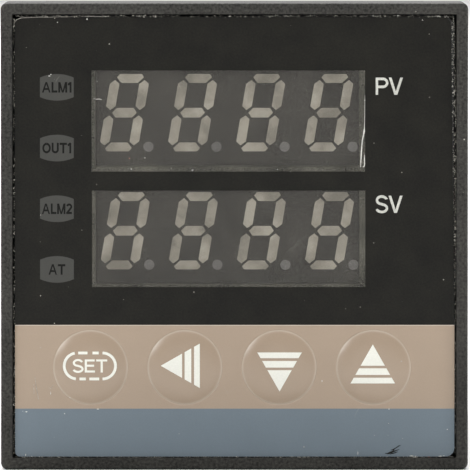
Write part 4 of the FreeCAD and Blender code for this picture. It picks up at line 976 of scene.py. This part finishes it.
def bits(name, centres, sizes):
    """Grains: an octahedron about each centre, its corners at the grain's half sizes times a
    share drawn by chance, so that no two are alike."""
    count = len(centres)
    shape = CORNERS * sizes[:, None] * drawn.uniform(*CORNER_SHARES, (count, 6, 1))
    faces = WEDGES + np.arange(count)[:, None, None] * 6
    points = centres[:, None] + shape
    mesh = bpy.data.meshes.new(name)
    mesh.from_pydata(points.reshape(-1, 3).tolist(), [], faces.reshape(-1, 3).tolist())
    return closed(name, mesh)


def film_bits(name, rows):
    """Specks that lie on the film, flatter than they are wide."""
    across, up, wide, tall = np.array(rows).T * MM
    centres = np.stack([across, np.full(len(rows), FILM_FRONT), up], -1)
    return bits(name, centres, np.stack([wide, np.minimum(wide, tall) * SPECK_FLAT, tall], -1))


def thread(name, rows):
    """A thread on the film: a tube about a spine, its radius half the width at each point,
    closed at both ends. A ring spans the spine's normal and a share of that in depth."""
    spine, width = np.array(rows)[:, :2] * MM, np.array(rows)[:, 2] / 2 * MM
    ahead = np.gradient(spine, axis=0)
    ahead /= np.linalg.norm(ahead, axis=1)[:, None]
    turn = np.linspace(0, 2 * math.pi, 10, endpoint=False)
    radius = np.concatenate([[0], width, [0]])[:, None]
    spine, ahead = [np.vstack([ends[:1], ends, ends[-1:]]) for ends in (spine, ahead)]
    across = spine[:, :1] - radius * np.cos(turn) * ahead[:, 1:]
    up = spine[:, 1:] + radius * np.cos(turn) * ahead[:, :1]
    depth = FILM_FRONT - radius * THREAD_FLAT * np.sin(turn)
    return grid_piece(name, np.stack([across, depth, up], -1), sharp=80)


def gap_dust(side, count):
    """Places in the gap on one side: along the film's edge by chance, out from it by chance."""
    along = drawn.uniform(-GAP_REACH, GAP_REACH, count) * MM
    out = drawn.uniform(*OUT_SHARES, count) * GAP
    slant = np.interp(along, [TAN_TOP, FILM_TOP], [FILM_RIGHT, FILM_TOP_RIGHT])
    across = {"left": FILM_LEFT - out, "right": slant + out * RIGHT_WIDER}.get(side, along)
    up = {"top": FILM_TOP + out, "bottom": FILM_LOW - out * BOTTOM_NARROWER}.get(side, along)
    kept = np.abs(across) < CASE_SIDE
    level = PANEL_FRONT - drawn.uniform(*DEPTH_SHARES, count) * FILM_THICK
    return np.stack([across, level, up], -1)[kept]


for side, count in GRAINS.items():
    centres = gap_dust(side, count)
    sides = drawn.uniform(*SIDE_SHARES, (len(centres), 3)) ** SIDE_POWER
    scale = drawn.uniform(*SIZE_SHARES, (len(centres), 1))
    on_front(bits(side + "_dust", centres, GRAIN_SIZE * sides * scale), grey_dust)
on_front(film_bits("film_specks", SPECKS), white_shred)
on_front(film_bits("red_specks", RED_SPECKS), red_shred)
for threads, material in ((SHREDS, white_shred), (LINT, grey_lint), (SCUFFS, black_print)):
    for name, rows in threads.items():
        on_front(thread(name, rows), material)

# ------------------------------------------------------------------ indicator lamps
# Four blocks of green tinted resin, moulded with a foot. They stand on the display board and
# reach into the panel's light wells.
LAMP_EDGE = 0.15 * MM
lamp_resin = moulded_plastic("lamp_resin", (0.17, 0.24, 0.13), (0.25, 0.34, 0.19), 0.3, 1400,
                             0.006 * MM, 0.05)
for name in LAMPS:
    dress(name + "_lamp", name + "_lamp_block", LAMP_EDGE, "lamp_resin", lamp_resin)

# ------------------------------------------------------------------ key switches
# Each is a moulded base with a stamped steel cover, an arched spring leaf and a round plunger
# that the key's dome presses. The plunger flattens the leaf.
LEAF_THICK = 0.1 * MM
LEAF_STEPS = 41
COVER_EDGE = 0.05 * MM
switch_plastic = moulded_plastic("switch_plastic", (0.010, 0.010, 0.010), (0.026, 0.026, 0.025),
                                 0.42, 4000, 0.01 * MM, 0.1)
plunger_plastic = moulded_plastic("plunger_plastic", (0.014, 0.014, 0.014), (0.034, 0.034, 0.033),
                                  0.4, 3600, 0.01 * MM, 0.1)
switch_steel = metal("switch_steel", (0.66, 0.65, 0.62), (0.44, 0.43, 0.40), 0.25, 0.42)
spring_steel = metal("spring_steel", (0.60, 0.57, 0.50), (0.40, 0.37, 0.31), 0.2, 0.38)


def leaf(name, low, high):
    """A strip across X. Its front is flat in the middle half and drops to its feet over a share t
    of each outer quarter, by the rise times three t squared less two t cubed."""
    across = np.concatenate([[-1], np.linspace(-1, 1, LEAF_STEPS), [1]])[:, None]
    t = np.clip(2 * np.abs(across) - 1, 0, 1)
    front = low.y + (high.y - low.y - LEAF_THICK) * (3 * t ** 2 - 2 * t ** 3)
    section = np.array([(0, low.z), (0, high.z), (LEAF_THICK, high.z), (LEAF_THICK, low.z)])
    middle, half = (low.x + high.x) / 2, (high.x - low.x) / 2
    x, z = np.broadcast_arrays(middle + half * across, section[:, 1])
    rings = np.stack([x, front + section[:, 0], z], -1)
    rings[[0, -1]] = rings[[0, -1]].mean(1, keepdims=True)
    return grid_piece(name, rings)


for key in KEYS:
    dress(key + "_switch_base", key + "_switch_body", MOULDED_EDGE, "switch_plastic", switch_plastic)
    dress(key + "_switch_cover", key + "_switch_plate", COVER_EDGE, "switch_steel", switch_steel)
    dress(key + "_plunger", key + "_stem", MOULDED_EDGE, "plunger_plastic", plunger_plastic,
          body=key + "_key")
    low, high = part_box(key + "_switch_spring")
    arch = leaf(key + "_switch_leaf", low, high)
    arch.data.materials.append(spring_steel)
    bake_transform(arch)
    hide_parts(key + "_switch_spring")

# ------------------------------------------------------------------ circuit boards
# Glass-epoxy boards under green solder mask, with tracks that show through it and sawn edges.
# The display board stands behind the panel, and the two long boards run back from it.
MASK_DARK = (0.004, 0.050, 0.022, 1)
MASK_TRACK = (0.009, 0.105, 0.042, 1)
EPOXY = (0.34, 0.33, 0.16, 1)
BOARD_THICK = 1.6 * MM
BOARD_EDGE = 0.05 * MM
MASK_THICK = 0.02 * MM
TRACK_CELLS = 260.0
TRACKS_A_CELL = 5.0
BOARDS = {"display_board": 1, "power_board": 0, "control_board": 0}


def apart(tree, one, other):
    """How far two values lie apart."""
    return calc(tree, "ABSOLUTE", calc(tree, "SUBTRACT", one, other))


def board_finish(name, across, faces):
    """Solder mask: tracks are the borders of square cells, in straight and slanted runs, seen
    over the board's two long axes. Near its thin axis's faces it is mask, and else bare epoxy."""
    material, tree, shader, place = finish(name, 0.34, Coat_Weight=0.35, Coat_Roughness=0.15)
    axes = add(tree, "SeparateXYZ", {0: place}).outputs
    first, second = [axes[axis] for axis in range(3) if axis != across]
    flat = add(tree, "CombineXYZ", {0: first, 1: second}).outputs[0]
    cells = add(tree, "TexVoronoi", {"Vector": flat, "Scale": TRACK_CELLS, "Randomness": 0.75},
                feature="F1", distance="CHEBYCHEV", voronoi_dimensions="2D").outputs["Distance"]
    steps = calc(tree, "FRACT", calc(tree, "MULTIPLY", cells, TRACKS_A_CELL))
    tracks = spread(tree, apart(tree, steps, 0.5), 0.2, 0.26, 1.0, 0.0)
    weave = noise(tree, flat, 2600.0, 2.0)
    mask = over(tree, tracks, MASK_DARK, MASK_TRACK)
    depth = apart(tree, axes[across], faces)
    bare = calc(tree, "LESS_THAN", depth, BOARD_THICK / 2 - MASK_THICK)
    specks = shared(tree, DUST, place, Share=0.25)[0]
    colour = over(tree, specks, over(tree, bare, mask, EPOXY), DUST_COLOUR)
    relief = calc(tree, "ADD", tracks, calc(tree, "MULTIPLY", weave, 0.4))
    wire(tree, shader, colour, relief, MASK_THICK, 0.6)
    return material


for name, across in BOARDS.items():
    low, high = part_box(name)
    material = board_finish(name + "_mask", across, (low[across] + high[across]) / 2)
    dress(name, name + "_sheet", BOARD_EDGE, "circuit_board", material, 1)

# ------------------------------------------------------------------ solder joints
# Hollow fillets of solder round the clipped leads, on the outer faces of the long boards. The
# tables give each part's leads as shares of its box, along and up.
JOINT_RADIUS = 0.95 * MM
JOINT_RISE = 0.95 * MM
JOINT_HOLLOW = 2.2
LEAD_RADIUS = 0.32 * MM
LEAD_CUT = LEAD_RADIUS * 0.85
LEAD_RISE, LEAD_TIP = JOINT_RISE * 1.25, JOINT_RISE * 1.32
PINS = (-0.42, -0.25, -0.08, 0.08, 0.25, 0.42)
RELAY_PINS = ((-0.4, 0.2, 0.4), (-0.38, 0.38))
POWER_LEADS = {"transformer_bobbin": ((-0.42, 0.42), (-0.36, 0.0, 0.36)),
               "bulk_capacitor": ((-0.25, 0.25), (0,)), "film_capacitor": ((-0.4, 0.4), (0,)),
               "varistor": ((0,), (-0.25, 0.25)), "fuse": ((-0.3, 0.3), (0,)), "power_header": ((0,), PINS)}
CONTROL_LEADS = {"output_relay": RELAY_PINS, "alarm_relay": RELAY_PINS,
                 "output_capacitor": ((-0.2, 0.2), (0,)), "control_header": ((0,), PINS)}
solder = metal("solder", (0.62, 0.62, 0.61), (0.42, 0.42, 0.41), 0.2, 0.45)


def lead_spots(leads):
    """Lead places under the parts: a box's middle moved by each pair of shares of its size."""
    spots = []
    for node, (along, up) in leads.items():
        low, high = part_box(node)
        middle, size = (low + high) / 2, high - low
        spots += [(0, middle.y + a * size.y, middle.z + b * size.z) for a in along for b in up]
    return spots


def joint(face_x, outward):
    """A joint on a board's face. At a share t of the rise the radius is the lead's, and the rest
    of the joint's times a power of one less t."""
    t = np.linspace(0, 1, 9)
    fillet = LEAD_RADIUS + (JOINT_RADIUS - LEAD_RADIUS) * (1 - t) ** JOINT_HOLLOW
    radii = np.concatenate([[0], fillet, [LEAD_RADIUS, LEAD_CUT, 0]])
    rise = np.concatenate([[0], JOINT_RISE * t, [LEAD_RISE, LEAD_TIP, LEAD_TIP]])
    return turned(radii, face_x + outward * rise, 20, "X")


for name, leads, side, outward in (("power", POWER_LEADS, 0, -1), ("control", CONTROL_LEADS, 1, 1)):
    one = joint(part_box(name + "_board")[side].x, outward)
    fit(grid_piece(name + "_solder", repeated(one, lead_spots(leads))), "circuit_board", solder)

# ------------------------------------------------------------------ board headers
# Square black headers moulded round rows of pins, soldered in the corners between the display
# board and the long boards.
header_plastic = moulded_plastic("header_plastic", (0.010, 0.010, 0.011), (0.028, 0.028, 0.028),
                                 0.42, 3200, 0.01 * MM, 0.1)
for name in ("power_header", "control_header"):
    dress(name, name + "_strip", 0.08 * MM, "header_plastic", header_plastic)

# ------------------------------------------------------------------ transformer
# A stack of varnished steel sheets round a moulded bobbin, whose coil is wrapped in several
# turns of yellow polyester tape.
SHEET_PITCH = 0.5 * MM
SHEET_DARK, SHEET_LIGHT = (0.10, 0.09, 0.075, 1), (0.24, 0.225, 0.20, 1)
VARNISH = (0.13, 0.075, 0.035, 1)
TAPE, TAPE_LAP = (0.58, 0.40, 0.06, 1), (0.36, 0.22, 0.02, 1)
TAPE_PITCH = 2.1 * MM
LAP_WIDE = 0.16 * MM


def stacked_steel(name):
    """Varnished sheets: their edges are bands across the stack, a fine ripple over X, brown
    where the varnish has pooled and grey where it is thin."""
    material, tree, shader, place = finish(name, 0.42, 0.55, Coat_Weight=0.3, Coat_Roughness=0.2)
    x = add(tree, "SeparateXYZ", {0: place}).outputs[0]
    sheets = spread(tree, calc(tree, "PINGPONG", x, SHEET_PITCH / 2), 0.0, SHEET_PITCH / 2)
    pools = spread(tree, noise(tree, place, 210.0, 4.0, 0.6), 0.38, 0.66)
    steel = over(tree, sheets, SHEET_DARK, SHEET_LIGHT)
    wire(tree, shader, over(tree, pools, steel, VARNISH), sheets, 0.05 * MM, 0.7)
    return material


def wrapped_tape(name):
    """Tape wound round a coil: faint overlaps as bands over Y and soft wrinkles between them."""
    material, tree, shader, place = finish(name, 0.26, Coat_Weight=0.4, Coat_Roughness=0.12)
    y = add(tree, "SeparateXYZ", {0: place}).outputs[1]
    band = spread(tree, calc(tree, "PINGPONG", y, TAPE_PITCH), 0.0, LAP_WIDE, 1.0, 0.0)
    wrinkles = noise(tree, place, 520.0, 3.0, 0.6)
    shade = over(tree, spread(tree, wrinkles, 0.3, 0.7, 0.0, 0.35), TAPE, TAPE_LAP)
    relief = calc(tree, "SUBTRACT", wrinkles, band)
    lapped = over(tree, calc(tree, "MULTIPLY", band, 0.7), shade, TAPE_LAP)
    wire(tree, shader, lapped, relief, 0.05 * MM, 0.6)
    return material


core_steel, coil_tape = stacked_steel("core_sheets"), wrapped_tape("coil_tape")
bobbin_plastic = moulded_plastic("bobbin_plastic", (0.20, 0.19, 0.165), (0.30, 0.285, 0.25), 0.42,
                                 3000, 0.012 * MM, 0.1)
dress("transformer_core", "core_sheets", 0.15 * MM, "core_steel", core_steel)
dress("transformer_bobbin", "coil_bobbin", MOULDED_EDGE, "header_plastic", bobbin_plastic)
dress("transformer_coil", "taped_coil", 0.9 * MM, "coil_tape", coil_tape, 5)

# ------------------------------------------------------------------ electrolytic capacitors
# Aluminium cans in a shrunk sleeve with a pale stripe, lying across the case: a crimp near the
# foot, the sleeve rolled over the shoulder, and a scored vent in the bare end. The profile is
# given in shares of the can's radius and length.
CANS = (("bulk_capacitor", "bulk_can", 1, (0.010, 0.012, 0.030, 1), (0.46, 0.47, 0.50, 1)),
        ("output_capacitor", "output_can", -1, (0.012, 0.012, 0.013, 1), (0.42, 0.36, 0.20, 1)))
SLEEVE_WORN = (0.002, 0.002, 0.003, 1)
ALUMINIUM, SCORED = (0.60, 0.60, 0.61, 1), (0.25, 0.25, 0.26, 1)
SHOULDER, CRIMP_DEEP = 0.12, 0.1
CRIMP_FROM, CRIMP_LONG = 0.1, 0.08
VENT_OUTER, VENT_INNER, VENT_LEVEL = 0.8, 0.78, 0.985
SCORE_HALF = 0.09 * MM
STRIPE_HALF = 0.42
BARE_SHARE, BARE_DEEP = 0.79, 0.2


def can(name, node, toward):
    """A can turned about X: radii and levels of its profile run from the foot's middle to the
    end's middle. The crimp is a dip of half a sine wave, and the shoulders are quarter arcs."""
    low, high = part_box(node)
    middle, radius, tall = (low + high) / 2, (high.y - low.y) / 2, high.x - low.x
    quarter, half = np.linspace(0, math.pi / 2, 7), np.linspace(0, math.pi, 9)
    shoulder, dip = radius * SHOULDER, radius * CRIMP_DEEP
    flat, sunk = radius - shoulder, tall * VENT_LEVEL
    radii = np.concatenate([[0, flat], flat + shoulder * np.sin(quarter), radius - dip * np.sin(half),
                            flat + shoulder * np.cos(quarter), [radius * VENT_OUTER, radius * VENT_INNER, 0]])
    level = np.concatenate([[0, 0], shoulder * (1 - np.cos(quarter)),
                            tall * CRIMP_FROM + tall * CRIMP_LONG * half / math.pi,
                            tall - shoulder + shoulder * np.sin(quarter), [tall, sunk, sunk]])
    foot = low.x if toward > 0 else high.x
    form = turned(radii, foot + toward * level, 72, "X") + (0, middle.y, middle.z)
    return grid_piece(name, form, sharp=30)


def sleeve(name, node, toward, colour, stripe):
    """Shrunk sleeve: a stripe where the turn about the can's axis is near one side, and bare
    aluminium in the middle of the end, scored by a cross."""
    low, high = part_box(node)
    middle, radius = (low + high) / 2, (high.y - low.y) / 2
    end = high.x if toward > 0 else low.x
    material, tree, shader, place = finish(name, 0.3)
    centred = add(tree, "VectorMath", {0: place, 1: middle}, operation="SUBTRACT").outputs[0]
    x, y, z = add(tree, "SeparateXYZ", {0: centred}).outputs
    squares = calc(tree, "ADD", calc(tree, "MULTIPLY", y, y), calc(tree, "MULTIPLY", z, z))
    reach = calc(tree, "POWER", squares, 0.5)
    along = calc(tree, "MULTIPLY", x, toward)
    near_end = calc(tree, "GREATER_THAN", along, abs(end - middle.x) - radius * BARE_DEEP)
    bare = calc(tree, "MULTIPLY", calc(tree, "LESS_THAN", reach, radius * BARE_SHARE), near_end)
    cross = calc(tree, "MINIMUM", calc(tree, "ABSOLUTE", y), calc(tree, "ABSOLUTE", z))
    score = calc(tree, "LESS_THAN", cross, SCORE_HALF)
    angle = calc(tree, "ABSOLUTE", calc(tree, "ARCTAN2", y, z))
    striped = calc(tree, "LESS_THAN", angle, STRIPE_HALF)
    grain = noise(tree, place, 900.0, 3.0)
    tone = over(tree, spread(tree, grain, 0.35, 0.65, 0.0, 0.25), colour, SLEEVE_WORN)
    sleeved = over(tree, striped, tone, stripe)
    end_tone = over(tree, score, ALUMINIUM, SCORED)
    tree.links.new(bare, shader["Metallic"])
    relief = calc(tree, "SUBTRACT", grain, calc(tree, "MULTIPLY", score, bare))
    wire(tree, shader, over(tree, bare, sleeved, end_tone), relief, 0.05 * MM, 0.4)
    return material


for node, name, toward, colour, stripe in CANS:
    sleeving = sleeve(name + "_sleeve", node, toward, colour, stripe)
    fit(can(name, node, toward), "capacitor_sleeve", sleeving, node)

# ------------------------------------------------------------------ film capacitor and fuse
# A yellow box capacitor across the mains and a small black box fuse, both potted in cases with
# softly moulded edges.
box_yellow = moulded_plastic("film_capacitor_case", (0.58, 0.38, 0.03), (0.70, 0.48, 0.05), 0.32,
                             2400, 0.01 * MM, 0.15)
fuse_plastic = moulded_plastic("fuse_case", (0.012, 0.012, 0.012), (0.032, 0.032, 0.031), 0.36, 2800,
                               0.01 * MM, 0.15)
dress("film_capacitor", "film_capacitor_box", 0.45 * MM, "film_capacitor_case", box_yellow, 4)
dress("fuse", "fuse_box", 0.4 * MM, "fuse_case", fuse_plastic, 4)

# ------------------------------------------------------------------ varistor
# A disc dipped in blue epoxy, round at its rim and nearly flat on its faces. It stands off its
# board on two tinned leads.
VARISTOR_LEAD = 0.3 * MM
LEAD_LENGTH = 2.4 * MM
LEAD_APART = 2.5 * MM
varistor_low, varistor_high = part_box("varistor")


def dipped_disc():
    """A disc about Y: the thickness at a share r of the radius is the fourth root of one less r
    to the fourth."""
    low, high = varistor_low, varistor_high
    radius, half = (high.z - low.z) / 2, (high.y - low.y) / 2
    share = np.sin(np.linspace(0, math.pi / 2, 17))
    thick = (1 - share ** 4) ** 0.25
    radii = np.concatenate([share, share[::-1][1:]]) * radius
    level = (low.y + high.y) / 2 - np.concatenate([thick, -thick[::-1][1:]]) * half
    return turned(radii, level, 64) + (high.x - radius, 0, (low.z + high.z) / 2)


def varistor_leads():
    """Two tinned leads from the disc to the board: rings about X between two levels."""
    level = varistor_low.x + np.array([0, 0, LEAD_LENGTH, LEAD_LENGTH])
    lead = turned(np.array([0, VARISTOR_LEAD, VARISTOR_LEAD, 0]), level, 16, "X")
    middle = (varistor_low + varistor_high) / 2
    return repeated(lead, [(0, middle.y, middle.z + side * LEAD_APART) for side in (-1, 1)])


epoxy_dip = moulded_plastic("varistor_coat", (0.010, 0.075, 0.25), (0.02, 0.12, 0.36), 0.24, 700,
                            0.06 * MM, 0.1)
fit(grid_piece("varistor_disc", dipped_disc(), sharp=60), "varistor_coat", epoxy_dip, "varistor")
fit(grid_piece("varistor_leads", varistor_leads()), "varistor_coat", solder)

# ------------------------------------------------------------------ relays
# Two sealed relays soldered on the control board, each a blue moulded cover over a potted base
# with softly rounded edges.
relay_plastic = moulded_plastic("relay_case", (0.012, 0.085, 0.27), (0.022, 0.125, 0.36), 0.34, 3000,
                                0.01 * MM, 0.2)
for name in ("alarm_relay", "output_relay"):
    dress(name, name + "_cover", 0.3 * MM, "relay_case", relay_plastic, 3)

# ------------------------------------------------------------------ controller chip and coupler
# Moulded black packages with two rows of tinned legs, soldered on the outer face of the control
# board. The legs are the parts beyond the package's width.
PACKAGE_HALF = 3.8 * MM
PACKAGE_DARK, PACKAGE_LIGHT = (0.008, 0.008, 0.009, 1), (0.026, 0.026, 0.027, 1)
TIN = (0.58, 0.58, 0.57, 1)


def package(name):
    """Satin black epoxy, and tin where the distance from the middle is past the package."""
    material, tree, shader, place = finish(name, 0.42)
    z = add(tree, "SeparateXYZ", {0: place}).outputs[2]
    leg = calc(tree, "GREATER_THAN", calc(tree, "ABSOLUTE", z), PACKAGE_HALF + 0.02 * MM)
    grain = shared(tree, MOULD_GRAIN, place, Pits_per_metre=5200.0)
    epoxy = over(tree, grain["Tone"], PACKAGE_DARK, PACKAGE_LIGHT)
    tree.links.new(leg, shader["Metallic"])
    wire(tree, shader, over(tree, leg, epoxy, TIN), grain["Height"], 0.008 * MM)
    return material


chip_package = package("chip_package")
for name in ("controller_chip", "optocoupler"):
    dress(name, name + "_package", 0.08 * MM, "chip_plastic", chip_package)
